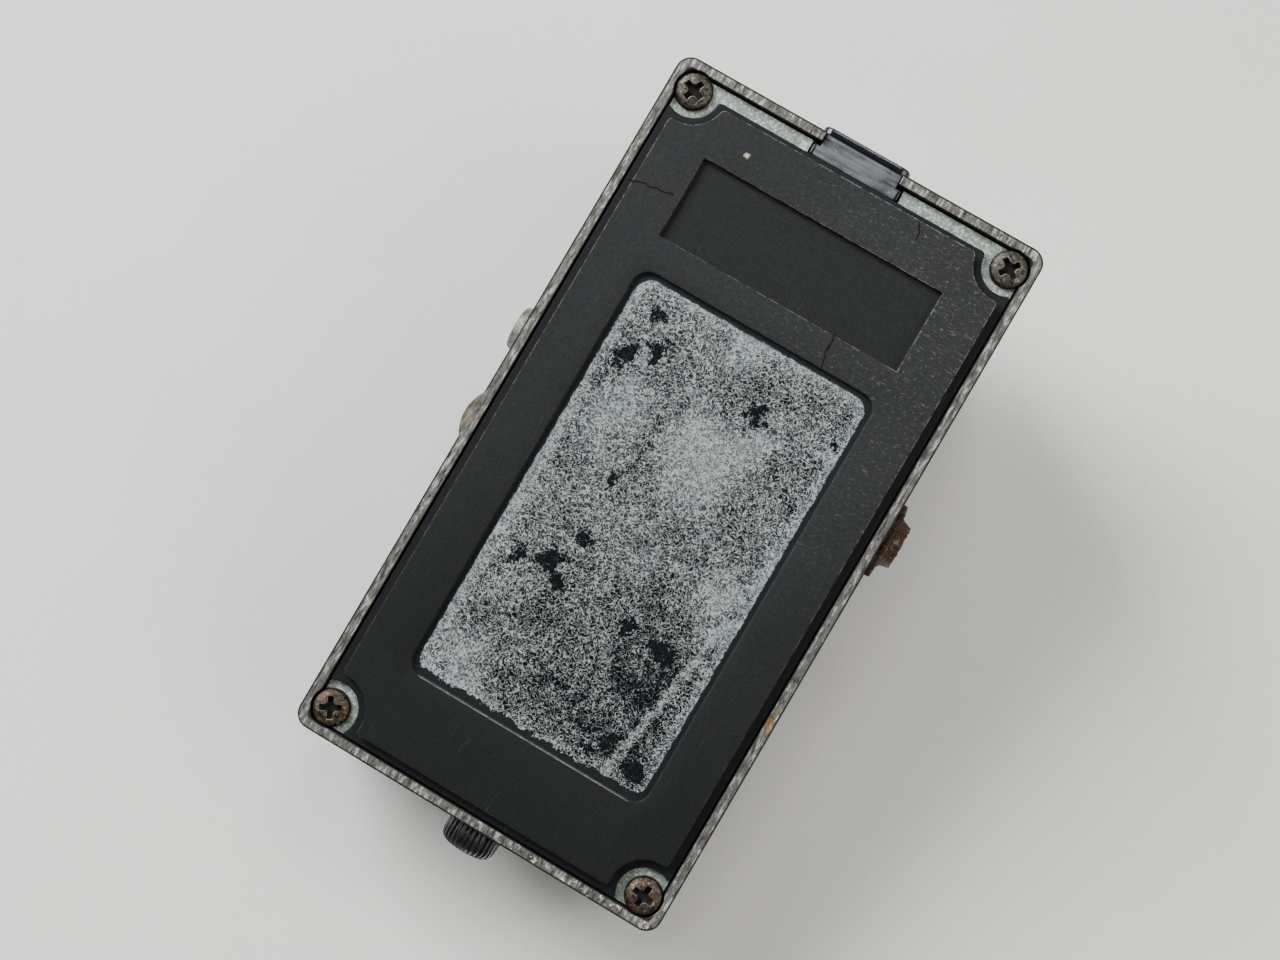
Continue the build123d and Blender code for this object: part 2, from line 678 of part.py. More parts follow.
with BuildPart() as battery_leads:
    for lift in (-lead_pitch / 2, lead_pitch / 2):
        lead_z = lead_height + lift
        drop_y = board_lead_y + lift
        with BuildLine() as route:
            FilletPolyline(
                (snap_x[1], battery_mid_y, lead_z),
                (lead_x, battery_mid_y, lead_z),
                (lead_x, drop_y, lead_z),
                (lead_x - 3.0, drop_y, lead_z),
                (lead_x - 3.0, drop_y, board_top_z),
                radius=(lead_bend, lead_bend * 0.7, lead_bend * 0.7),
            )
        with BuildSketch(Plane(origin=route.line @ 0, z_dir=route.line % 0)):
            Circle(lead_radius)
        sweep(path=route.line)
battery_leads.part.label = "battery_leads"
export_step(battery_leads.part, "parts/battery_leads.step")

with BuildPart() as lead_grommet:
    grommet_y = bay_rear_y + step_wall / 2
    with Locations((lead_x, grommet_y, lead_height)):
        Cylinder(grommet_radius, step_wall, rotation=(90, 0, 0))
    for y in (bay_rear_y - 0.4, bay_rear_y + step_wall + 0.4):
        with Locations((lead_x, y, lead_height)):
            Cylinder(grommet_radius + 0.4, 0.8, rotation=(90, 0, 0))
    for lift in (-lead_pitch / 2, lead_pitch / 2):
        with Locations((lead_x, grommet_y, lead_height + lift)):
            Cylinder(lead_radius, 2 * step_wall, rotation=(90, 0, 0), mode=Mode.SUBTRACT)
lead_grommet.part.label = "lead_grommet"
export_step(lead_grommet.part, "parts/lead_grommet.step")

# ---------------------------------------------------------------- treadle switch
with BuildPart() as switch_board:
    slab((-12.0, 12.0), (switch_y - 3.8, switch_y + 5.0), (switch_board_z, switch_base_z))
    for x in (-switch_screw_x, switch_screw_x):
        post((x, switch_y, switch_board_z), switch_screw_radius, 2.0, mode=Mode.SUBTRACT)
switch_board.part.label = "switch_board"
export_step(switch_board.part, "parts/switch_board.step")

with BuildPart() as switch_board_screws:
    for x in (-switch_screw_x, switch_screw_x):
        post((x, switch_y, switch_base_z), 1.7, 1.0)
        post((x, switch_y, switch_base_z - 3.4), switch_screw_radius, 3.4)
    heads = switch_board_screws.faces().sort_by(Axis.Z)[-2:].edges()
    fillet(heads, radius=0.5)
switch_board_screws.part.label = "switch_board_screws"
export_step(switch_board_screws.part, "parts/switch_board_screws.step")

with BuildPart() as tact_switch:
    half_side = switch_side / 2
    slab((-half_side, half_side), (switch_y - half_side, switch_y + half_side),
         (switch_base_z, switch_base_z + switch_height))
    fillet(tact_switch.edges().filter_by(Axis.Z), radius=0.6)
    post((0, switch_y, switch_base_z + 1.0), plunger_radius + running_clearance, switch_height,
         mode=Mode.SUBTRACT)
tact_switch.part.label = "tact_switch"
export_step(tact_switch.part, "parts/tact_switch.step")

with BuildPart() as switch_plunger:
    plunger_bottom_z = switch_base_z + 1.0 + plunger_travel + 0.1
    post((0, switch_y, plunger_bottom_z), plunger_radius, plunger_top_z - plunger_bottom_z)
    fillet(switch_plunger.edges().sort_by(Axis.Z)[-1], radius=0.25)
switch_plunger.part.label = "switch_plunger"
export_step(switch_plunger.part, "parts/switch_plunger.step")

with BuildPart() as switch_leads:
    for x in (4.4, 5.6):
        post((x, switch_y + 3.0, board_top_z), 0.5, switch_board_z - board_top_z)
switch_leads.part.label = "switch_leads"
export_step(switch_leads.part, "parts/switch_leads.step")

# ---------------------------------------------------------------- main board
with BuildPart() as insulating_sheet:
    slab((-board_half_width - 1, board_half_width + 1), (board_front_y - 1, board_rear_y + 3),
         (plate_top_z, plate_top_z + 0.25))
insulating_sheet.part.label = "insulating_sheet"
export_step(insulating_sheet.part, "parts/insulating_sheet.step")

board_screw_places = [(x, y) for x in (-post_x, post_x) for y in (front_post_y, rear_post_y)]
with BuildPart() as main_board:
    slab((-board_half_width, board_half_width), (board_front_y, board_rear_y), (board_height, board_top_z))
    for x, y in board_screw_places:
        post((x, y, board_height), board_screw_radius, board_thickness, mode=Mode.SUBTRACT)
main_board.part.label = "main_board"
export_step(main_board.part, "parts/main_board.step")

with BuildPart() as board_screws:
    for x, y in board_screw_places:
        post((x, y, board_height - 1.3), board_screw_head_radius, 1.3)
        post((x, y, board_height), board_screw_radius, board_thickness + 3.8)
board_screws.part.label = "board_screws"
export_step(board_screws.part, "parts/board_screws.step")

with BuildPart() as board_components:
    # dual amplifiers, electrolytic capacitors, film capacitors and resistors
    front_row, rear_row = front_post_y, jack_y + 20.0
    for x, y in ((-8, rear_row - 5), (8, rear_row - 5), (0, front_row + 5)):
        slab((x - 4.8, x + 4.8), (y - 3.2, y + 3.2), (board_top_z, board_top_z + 3.4))
    for x, y in ((-17, rear_row - 3), (17, rear_row - 3), (-17, rear_row + 4), (15, rear_row + 5)):
        post((x, y, board_top_z), 2.5, 8.0)
    for x in (-12, 12):
        post((x, front_row + 3.5, board_top_z), 2.5, 11.0)
        slab((x - 3.4, x + 3.4), (front_row + 8.8, front_row + 11.2), (board_top_z, board_top_z + 5.5))
    for x, y in ((-10, 3), (-4, 3), (8, 3), (8, 8), (-10, 8)):
        low = rear_row + y - 1.2
        slab((x - 3.4, x + 3.4), (low, low + 2.4), (board_top_z, board_top_z + 5.5))
    for i in range(5):
        for y in (rear_row - 11.5, rear_row + 10.8):
            slab((-10 + 4.4 * i, -7.6 + 4.4 * i), (y - 0.8, y + 0.8), (board_top_z, board_top_z + 2.0))
board_components.part.label = "board_components"
export_step(board_components.part, "parts/board_components.step")

# ---------------------------------------------------------------- signal jacks
jack_low = jack_height - jack_body_side / 2
jack_high = jack_height + jack_body_side / 2
bushing_inner_x = inner_half_width - 3.0
for name, side in (("input_jack", 1), ("output_jack", -1)):
    with BuildPart() as jack:
        body_x = sorted((side * jack_inner_x, side * inner_half_width))
        slab(body_x, (jack_y - jack_body_side / 2, jack_y + jack_body_side / 2), (jack_low, jack_high))
        fillet(jack.edges().filter_by(Axis.X), radius=1.0)
        outward = Plane(origin=(0, jack_y, jack_height), x_dir=(0, 1, 0), z_dir=(side, 0, 0))
        with BuildSketch(outward.offset(jack_inner_x + 1.6)):
            Circle(jack_bore_radius)
        extrude(amount=jack_body_length, mode=Mode.SUBTRACT)
        with BuildSketch(outward.offset(bushing_inner_x)):
            Circle(jack_bushing_radius)
        extrude(amount=jack_body_length, mode=Mode.SUBTRACT)
        leaf_x = sorted((side * (jack_inner_x + 4.0), side * (jack_inner_x + 17.0)))
        slab(leaf_x, (jack_y - 1.2, jack_y + 1.2), (jack_height, jack_high + 1), mode=Mode.SUBTRACT)
    jack.part.label = name
    export_step(jack.part, f"parts/{name}.step")

    with BuildPart() as contacts:
        leaf_z = jack_height + jack_bore_radius + 0.4
        slab(leaf_x, (jack_y - 1.0, jack_y + 1.0), (leaf_z, leaf_z + 0.4))
        for x in (jack_inner_x + 3.0, jack_inner_x + 10.0, jack_inner_x + 17.0):
            pin_x = sorted((side * x, side * (x + 0.6)))
            slab(pin_x, (jack_y - 1.2, jack_y + 1.2), (board_top_z, jack_low))
    contacts.part.label = f"{name}_contacts"
    export_step(contacts.part, f"parts/{name}_contacts.step")

with BuildPart() as jack_bushings:
    for side in (-1, 1):
        outward = Plane(origin=(0, jack_y, jack_height), x_dir=(0, 1, 0), z_dir=(side, 0, 0))
        with BuildSketch(outward.offset(bushing_inner_x)):
            Circle(jack_bushing_radius)
        extrude(amount=half_width + jack_stand_out - bushing_inner_x)
        mouth = jack_bushings.faces().filter_by(Plane.YZ).sort_by(Axis.X)[-1 if side > 0 else 0]
        chamfer(mouth.edges(), length=0.5)
        with BuildSketch(outward.offset(bushing_inner_x)):
            Circle(jack_bore_radius)
        extrude(amount=half_width, mode=Mode.SUBTRACT)
jack_bushings.part.label = "jack_bushings"
export_step(jack_bushings.part, "parts/jack_bushings.step")

with BuildPart() as jack_washers:
    for side in (-1, 1):
        outward = Plane(origin=(0, jack_y, jack_height), x_dir=(0, 1, 0), z_dir=(side, 0, 0))
        with BuildSketch(outward.offset(half_width)):
            Circle(jack_nut_across / 2 + 0.2)
            Circle(jack_bushing_radius, mode=Mode.SUBTRACT)
        extrude(amount=jack_washer_height)
jack_washers.part.label = "jack_washers"
export_step(jack_washers.part, "parts/jack_washers.step")

with BuildPart() as jack_nuts:
    for side in (-1, 1):
        outward = Plane(origin=(0, jack_y, jack_height), x_dir=(0, 1, 0), z_dir=(side, 0, 0))
        with BuildSketch(outward.offset(half_width + jack_washer_height)):
            RegularPolygon(jack_nut_across / 2, 6, major_radius=False, rotation=12)
            Circle(jack_bushing_radius, mode=Mode.SUBTRACT)
        extrude(amount=jack_nut_height)
jack_nuts.part.label = "jack_nuts"
export_step(jack_nuts.part, "parts/jack_nuts.step")

# ---------------------------------------------------------------- supply socket
socket_z = (socket_low_z, socket_top_z)
with BuildPart() as supply_socket:
    inner_z = (plate_top_z + 0.3, socket_top_z)
    slab((-socket_half_width, socket_half_width), (socket_inner_y, socket_flange_y), inner_z)
    slab((-socket_half_width, socket_half_width), (socket_flange_y, rear_y), socket_z)
    flange_half = socket_flange_width / 2
    slab((-flange_half, flange_half), (socket_flange_y, inner_rear_y), (socket_z[0], socket_flange_top_z))
    with BuildSketch(Plane.XZ.offset(-rear_y)):
        with Locations((0, (socket_low_z - 0.2 + socket_top_z + 0.8) / 2)):
            RectangleRounded(socket_lip_width, socket_top_z + 1.0 - socket_low_z, 1.6)
    extrude(amount=-socket_lip)
    lip = supply_socket.faces().sort_by(Axis.Y)[-1]
    fillet(lip.edges(), radius=0.45)
    with BuildSketch(Plane.XZ.offset(-socket_inner_y - 1.5)):
        with Locations((0, socket_height)):
            Circle(socket_bore_radius)
    extrude(amount=-20.0, mode=Mode.SUBTRACT)
supply_socket.part.label = "supply_socket"
export_step(supply_socket.part, "parts/supply_socket.step")

with BuildPart() as supply_pin:
    with Locations((0, (socket_inner_y + 1.5 + rear_y - 0.8) / 2, socket_height)):
        Cylinder(socket_pin_radius, rear_y - 0.8 - socket_inner_y - 1.5, rotation=(90, 0, 0))
    fillet(supply_pin.edges().sort_by(Axis.Y)[-1], radius=0.5)
supply_pin.part.label = "supply_pin"
export_step(supply_pin.part, "parts/supply_pin.step")

with BuildPart() as supply_tags:
    for x in (-3.0, 0.0, 3.0):
        slab((x - 0.9, x + 0.9), (board_rear_y - 1.5, socket_inner_y), (board_top_z, board_top_z + 0.5))
supply_tags.part.label = "supply_tags"
export_step(supply_tags.part, "parts/supply_tags.step")

# ---------------------------------------------------------------- controls
with BuildPart() as control_board:
    slab((-board_half_width - 1, board_half_width + 1), (lamp_y - 3.0, pot_y + 10.0),
         (control_board_top_z - board_thickness, control_board_top_z))
control_board.part.label = "control_board"
export_step(control_board.part, "parts/control_board.step")

bushing_top_z = panel_z + pot_washer_height + pot_nut_height + 0.8
shaft_bottom_z = ceiling_z - pot_height + 2.5
for name, (x, y) in zip(pot_names, pot_places):
    with BuildPart() as pot:
        post((x, y, ceiling_z - pot_height), pot_radius, pot_height)
        fillet(pot.edges().filter_by(GeomType.CIRCLE), radius=0.6)
        post((x, y, ceiling_z - 1.0), pot_bushing_radius, bushing_top_z - ceiling_z + 1.0)
        for pin in (-5.0, 0.0, 5.0):
            slab((x + pin - 0.5, x + pin + 0.5), (y - 5.0, y - 4.4),
                 (control_board_top_z, ceiling_z - pot_height + 1.0))
        post((x, y, shaft_bottom_z), shaft_radius + running_clearance, 30.0, mode=Mode.SUBTRACT)
    pot.part.label = f"{name}_pot"
    export_step(pot.part, f"parts/{name}_pot.step")

    with BuildPart() as shaft:
        post((x, y, shaft_bottom_z + 0.05), shaft_radius, shaft_top_z - shaft_bottom_z - 0.05)
    shaft.part.label = f"{name}_shaft"
    export_step(shaft.part, f"parts/{name}_shaft.step")

    with BuildPart() as knob:
        with BuildSketch(Plane.XY.offset(knob_bottom_z)):
            with Locations((x, y)):
                Circle(knob_radius)
        extrude(amount=knob_top_height - knob_bottom_z, taper=4)
        fillet(knob.faces().sort_by(Axis.Z)[-1].edges(), radius=0.7)
        with BuildSketch(Plane.XY.offset(knob_bottom_z + 1.8)):
            with Locations((x, y)):
                with PolarLocations(knob_radius + 0.2, knob_flutes):
                    Circle(0.75)
        extrude(amount=knob_top_height - knob_bottom_z - 3.4, mode=Mode.SUBTRACT)
        slab((x - 0.5, x + 0.5), (y + 1.5, y + knob_radius), (knob_top_height - 0.5, knob_top_height + 1),
             mode=Mode.SUBTRACT)
        post((x, y, knob_bottom_z), knob_radius - 1.1, bushing_top_z + 0.7 - knob_bottom_z,
             mode=Mode.SUBTRACT)
        post((x, y, knob_bottom_z), shaft_radius, shaft_top_z - knob_bottom_z, mode=Mode.SUBTRACT)
    knob.part.label = f"{name}_knob"
    export_step(knob.part, f"parts/{name}_knob.step")

with BuildPart() as pot_washers:
    for x, y in pot_places:
        with BuildSketch(Plane.XY.offset(panel_z)):
            with Locations((x, y)):
                Circle(pot_bushing_radius + 2.2)
                Circle(pot_bushing_radius, mode=Mode.SUBTRACT)
        extrude(amount=pot_washer_height)
pot_washers.part.label = "pot_washers"
export_step(pot_washers.part, "parts/pot_washers.step")

with BuildPart() as pot_nuts:
    for x, y in pot_places:
        with BuildSketch(Plane.XY.offset(panel_z + pot_washer_height)):
            with Locations((x, y)):
                RegularPolygon(pot_nut_across / 2, 6, major_radius=False)
                Circle(pot_bushing_radius, mode=Mode.SUBTRACT)
        extrude(amount=pot_nut_height)
pot_nuts.part.label = "pot_nuts"
export_step(pot_nuts.part, "parts/pot_nuts.step")

with BuildPart() as lamp_bezel:
    post((0, lamp_y, panel_z), lamp_radius + 1.8, 1.2)
    fillet(lamp_bezel.edges().sort_by(Axis.Z)[-1], radius=0.6)
    post((0, lamp_y, ceiling_z), lamp_radius + 1.0, panel_z - ceiling_z)
    post((0, lamp_y, ceiling_z - 1), lamp_radius, 8.0, mode=Mode.SUBTRACT)
lamp_bezel.part.label = "lamp_bezel"
export_step(lamp_bezel.part, "parts/lamp_bezel.step")

with BuildPart() as status_lamp:
    lamp_top_z = panel_z + 1.0
    post((0, lamp_y, ceiling_z - 2.4), lamp_radius, lamp_top_z - ceiling_z + 2.4)
    with Locations((0, lamp_y, lamp_top_z)):
        Sphere(lamp_radius)
    for x in (-1.27, 1.27):
        post((x, lamp_y, control_board_top_z), 0.3, ceiling_z - 2.0 - control_board_top_z)
status_lamp.part.label = "status_lamp"
export_step(status_lamp.part, "parts/status_lamp.step")

with BuildPart() as board_link:
    link_bottom_z = control_board_top_z - board_thickness
    for i in range(6):
        x = -3.175 + 1.27 * i
        with BuildLine() as route:
            FilletPolyline(
                (x, pot_y - 6.3, link_bottom_z),
                (x, pot_y - 6.3, link_bottom_z - 4.0),
                (x, board_rear_y - 2.0, board_top_z + 8.0),
                (x, board_rear_y - 2.0, board_top_z),
                radius=3.0,
            )
        with BuildSketch(Plane(origin=route.line @ 0, z_dir=route.line % 0)):
            Circle(0.5)
        sweep(path=route.line)
board_link.part.label = "board_link"
export_step(board_link.part, "parts/board_link.step")
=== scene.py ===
"""Compact guitar effects pedal: finishes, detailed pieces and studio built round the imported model."""

import functools
import logging
import math
from dataclasses import dataclass
from enum import Enum
from typing import Any, Iterable, Mapping, Optional, Sequence, Union

import bmesh
import bpy
from mathutils import Matrix, Vector, noise


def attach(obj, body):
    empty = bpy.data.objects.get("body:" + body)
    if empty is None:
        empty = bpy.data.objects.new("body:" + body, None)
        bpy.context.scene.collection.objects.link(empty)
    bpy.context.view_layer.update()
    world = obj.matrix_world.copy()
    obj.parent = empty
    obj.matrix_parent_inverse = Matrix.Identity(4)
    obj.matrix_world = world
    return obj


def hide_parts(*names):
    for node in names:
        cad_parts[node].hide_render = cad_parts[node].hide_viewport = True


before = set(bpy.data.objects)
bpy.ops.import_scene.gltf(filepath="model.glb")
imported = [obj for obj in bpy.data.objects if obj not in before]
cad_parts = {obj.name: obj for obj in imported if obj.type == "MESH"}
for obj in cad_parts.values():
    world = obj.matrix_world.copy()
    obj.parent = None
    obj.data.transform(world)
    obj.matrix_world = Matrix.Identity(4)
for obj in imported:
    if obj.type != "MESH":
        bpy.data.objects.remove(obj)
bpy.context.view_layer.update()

MM = 0.001
LOG = logging.getLogger("effects_pedal")
BEVEL_SAMPLES = 6
EDGE_LEAN = (0.015, 0.16)  # how far the rounded normal leans where an edge starts to show, and shows fully
CREASE = 32.0  # degrees past which an edge stays hard
HAIR = 0.01  # millimetres by which a test of place may be out
Pair = tuple[float, float]
Point = tuple[float, float, float]
Colour = tuple[float, float, float]
Term = Union[float, "Signal"]


# ------------------------------------------------------------------------------- named options
class Body(Enum):
    """Rigid bodies that a piece can ride on."""

    HOUSING = "housing"
    THUMBSCREW = "thumbscrew"
    LEFT_KNOB = "left_knob"
    CENTRE_KNOB = "centre_knob"
    RIGHT_KNOB = "right_knob"


class Slot(Enum):
    """Material slots of the record."""

    RUBBER = "black_rubber"
    RESIDUE = "label_residue"
    RUSTY_STEEL = "rusty_steel"
    BLACK_PLASTIC = "black_plastic"
    GLOSS_PLASTIC = "gloss_black_plastic"
    PAINTED_CASTING = "painted_casting"


class Rounded(Enum):
    """What a bevel rounds."""

    EDGES = "EDGES"
    CORNERS = "VERTICES"


# ------------------------------------------------------------------------------- shader maths
class Signal:
    """A number that changes over a surface, as a shader socket that works in expressions."""

    def __init__(self, paint: "Paint", socket: bpy.types.NodeSocket) -> None:
        """Wraps a value output of one of the nodes of the material under construction."""
        self.paint = paint
        self.socket = socket

    def __add__(self, other: Term) -> "Signal":
        """self + other."""
        return self.paint.maths("ADD", self, other)

    __radd__ = __add__

    def __sub__(self, other: Term) -> "Signal":
        """self - other."""
        return self.paint.maths("SUBTRACT", self, other)

    def __rsub__(self, other: Term) -> "Signal":
        """other - self."""
        return self.paint.maths("SUBTRACT", other, self)

    def __mul__(self, other: Term) -> "Signal":
        """self * other."""
        return self.paint.maths("MULTIPLY", self, other)

    __rmul__ = __mul__

    def __pow__(self, other: Term) -> "Signal":
        """self ** other."""
        return self.paint.maths("POWER", self, other)

    def __neg__(self) -> "Signal":
        """-self."""
        return self.paint.maths("MULTIPLY", self, -1.0)

    def __abs__(self) -> "Signal":
        """The size of the number."""
        return self.paint.maths("ABSOLUTE", self)

    def most(self, other: Term) -> "Signal":
        """The larger of the two numbers."""
        return self.paint.maths("MAXIMUM", self, other)

    def least(self, other: Term) -> "Signal":
        """The smaller of the two numbers."""
        return self.paint.maths("MINIMUM", self, other)

    def step(self, low: float, high: float) -> "Signal":
        """A smooth step from 0 to 1.

        Args:
            low: The value at which the result is 0.
            high: The value at which the result is 1; it may be below low.

        Returns:
            The eased signal, kept between 0 and 1.
        """
        settings = {"interpolation_type": "SMOOTHSTEP"}
        if high < low:
            values = {0: self, 1: high, 2: low, 3: 1.0, 4: 0.0}
        else:
            values = {0: self, 1: low, 2: high, 3: 0.0, 4: 1.0}
        return Signal(self.paint, self.paint.node("ShaderNodeMapRange", settings, values).outputs[0])

    def band(self, centre: float, half: float, soft: float) -> "Signal":
        """1 within half of a centre value and 0 away from it, fading over the width soft."""
        return abs(self - centre).step(half + soft, half)


class Paint:
    """Builds the node tree of one material, with places in millimetres."""

    def __init__(self, name: str, rounding: float = 0.25) -> None:
        """Starts an empty material.

        Args:
            name: The material's name.
            rounding: Radius in millimetres to which hard edges are shaded.
        """
        self.material = bpy.data.materials.new(name)
        self.material.use_nodes = True
        self.tree = self.material.node_tree
        self.tree.nodes.clear()
        place = self.node("ShaderNodeTexCoord").outputs["Object"]
        scaled = self.node("ShaderNodeVectorMath", {"operation": "SCALE"}, {0: place, "Scale": 1 / MM})
        self.place = scaled.outputs[0]
        parts = self.node("ShaderNodeSeparateXYZ", {}, {0: self.place})
        self.x, self.y, self.z = (Signal(self, parts.outputs[i]) for i in range(3))
        geometry = self.node("ShaderNodeNewGeometry")
        bevelled = self.node("ShaderNodeBevel", {"samples": BEVEL_SAMPLES}, {"Radius": rounding * MM})
        self.rounded = bevelled.outputs[0]
        faces = self.node("ShaderNodeSeparateXYZ", {}, {0: geometry.outputs["Normal"]})
        self.faces_y, self.faces_z = (Signal(self, faces.outputs[i]) for i in (1, 2))
        along = self.node("ShaderNodeVectorMath", {"operation": "DOT_PRODUCT"},
                          {0: self.rounded, 1: geometry.outputs["Normal"]})
        self.edge = (1.0 - Signal(self, along.outputs["Value"])).step(*EDGE_LEAN)

    def node(self, kind: str, settings: Optional[Mapping[str, Any]] = None,
             inputs: Optional[Mapping[Union[str, int], Any]] = None) -> bpy.types.Node:
        """Adds any node.

        Args:
            kind: The node's type.
            settings: Its own settings by name, set first.
            inputs: Values, signals or sockets by input name or index.

        Returns:
            The new node.
        """
        made = self.tree.nodes.new(kind)
        for name, value in (settings or {}).items():
            setattr(made, name, value)
        for name, value in (inputs or {}).items():
            socket = made.inputs[name]
            if isinstance(value, Signal):
                self.tree.links.new(value.socket, socket)
            elif isinstance(value, bpy.types.NodeSocket):
                self.tree.links.new(value, socket)
            elif isinstance(value, tuple) and len(value) == 3 and socket.type == "RGBA":
                socket.default_value = (*value, 1.0)
            else:
                socket.default_value = value
        return made

    def maths(self, operation: str, *terms: Term) -> Signal:
        """One Math node over signals and numbers."""
        made = self.node("ShaderNodeMath", {"operation": operation}, dict(enumerate(terms)))
        return Signal(self, made.outputs[0])

    def noise(self, per_mm: float, detail: float = 2.0, rough: float = 0.5, warp: float = 0.0,
              stretch: Point = (1.0, 1.0, 1.0), shift: float = 0.0) -> Signal:
        """Cloudy noise from 0 to 1.

        Args:
            per_mm: Cells in a millimetre.
            detail: Number of finer layers.
            rough: Strength of the finer layers.
            warp: Distortion.
            stretch: Scale along each axis; a small number draws the noise out along it.
            shift: Moves the pattern, so that two with one scale differ.

        Returns:
            The noise.
        """
        where: Any = self.place
        if stretch != (1.0, 1.0, 1.0) or shift:
            where = self.node("ShaderNodeMapping", {},
                              {0: self.place, 1: (shift, shift * 0.7, shift * 1.3), 3: stretch}).outputs[0]
        made = self.node("ShaderNodeTexNoise", {}, {
            "Vector": where, "Scale": per_mm, "Detail": detail, "Roughness": rough, "Distortion": warp})
        return Signal(self, made.outputs[0])

    def cells(self, per_mm: float) -> Signal:
        """Distance to the nearest centre in a pattern of irregular cells."""
        made = self.node("ShaderNodeTexVoronoi", {}, {"Vector": self.place, "Scale": per_mm})
        return Signal(self, made.outputs["Distance"])

    def spot(self, x: float, y: float, size: float, fray: Term = 0.0) -> Signal:
        """1 at a place in plan, fading to 0 at size millimetres from it; fray moves its outline."""
        away = self.maths("SQRT", (self.x - x) * (self.x - x) + (self.y - y) * (self.y - y))
        return (away + fray).step(size, size * 0.3)

    def outside(self, half_x: float, low: float, high: float, corner: float) -> Signal:
        """How far in mm a point lies outside a rounded rectangle, below 0 inside it.

        Args:
            half_x: Half its width.
            low: Its front edge's Y.
            high: Its rear edge's Y.
            corner: Radius of its corners.

        Returns:
            The distance.
        """
        across = abs(self.x) - (half_x - corner)
        along = abs(self.y - (low + high) / 2) - ((high - low) / 2 - corner)
        beyond = self.maths("SQRT", across.most(0.0) ** 2.0 + along.most(0.0) ** 2.0)
        return beyond + across.most(along).least(0.0) - corner

    def crack(self, start: Pair, end: Pair, width: float) -> Signal:
        """A wandering hairline between two places in plan.

        Args:
            start: X and Y of one end, in millimetres.
            end: X and Y of the other end.
            width: Width of the line.

        Returns:
            1 on the line and 0 away from it.
        """
        run = math.dist(start, end)
        ux, uy = (end[0] - start[0]) / run, (end[1] - start[1]) / run
        along = (self.x - start[0]) * ux + (self.y - start[1]) * uy
        wander = (self.noise(0.5, 2.0) - 0.5) * 1.4
        across = (self.x - start[0]) * uy - (self.y - start[1]) * ux + wander
        return abs(across).step(width, width * 0.3) * along.band(run / 2, run / 2, 0.2)

    def layers(self, base: Any, *laid: tuple[Any, Term]) -> bpy.types.NodeSocket:
        """Lays colours over one another.

        Args:
            base: The lowest colour, or its socket.
            laid: Each colour laid on it, in order, with how much of it shows, from 0 to 1.

        Returns:
            The resulting colour's socket.
        """
        for over, amount in laid:
            mix = self.node("ShaderNodeMix", {"data_type": "RGBA", "clamp_factor": True},
                            {0: amount, 6: base, 7: over})
            base = mix.outputs[2]
        return base

    def relief(self, height: Signal, depth: float) -> bpy.types.NodeSocket:
        """The normal of bumps over the rounded surface: depth is how high 1 stands, in millimetres."""
        return self.node("ShaderNodeBump", {}, {"Strength": 1.0, "Distance": depth * MM, "Height": height,
                                                "Normal": self.rounded}).outputs[0]

    def finish(self, base: Any, rough: Term, normal: bpy.types.NodeSocket, metal: Term = 0.0,
               **fixed: Any) -> bpy.types.Material:
        """Joins the shader to the output.

        Args:
            base: Base colour.
            rough: Roughness.
            normal: Normal socket.
            metal: Metallic share.
            fixed: Further inputs, with underscores for the spaces of their names.

        Returns:
            The finished material.
        """
        inputs = {"Base Color": base, "Roughness": rough, "Metallic": metal, "Normal": normal}
        inputs.update({name.replace("_", " "): value for name, value in fixed.items()})
        shader = self.node("ShaderNodeBsdfPrincipled", {}, inputs)
        self.node("ShaderNodeOutputMaterial", {}, {0: shader.outputs[0]})
        return self.material


class Finish:
    """A kind of surface. Each finish is a frozen dataclass whose paint method builds its material."""

    def paint(self) -> bpy.types.Material:
        """Builds and returns the material."""
        raise NotImplementedError


@functools.lru_cache(maxsize=None)
def material_of(finish: Finish) -> bpy.types.Material:
    """The one material of a finish, made when it is first asked for."""
    return finish.paint()


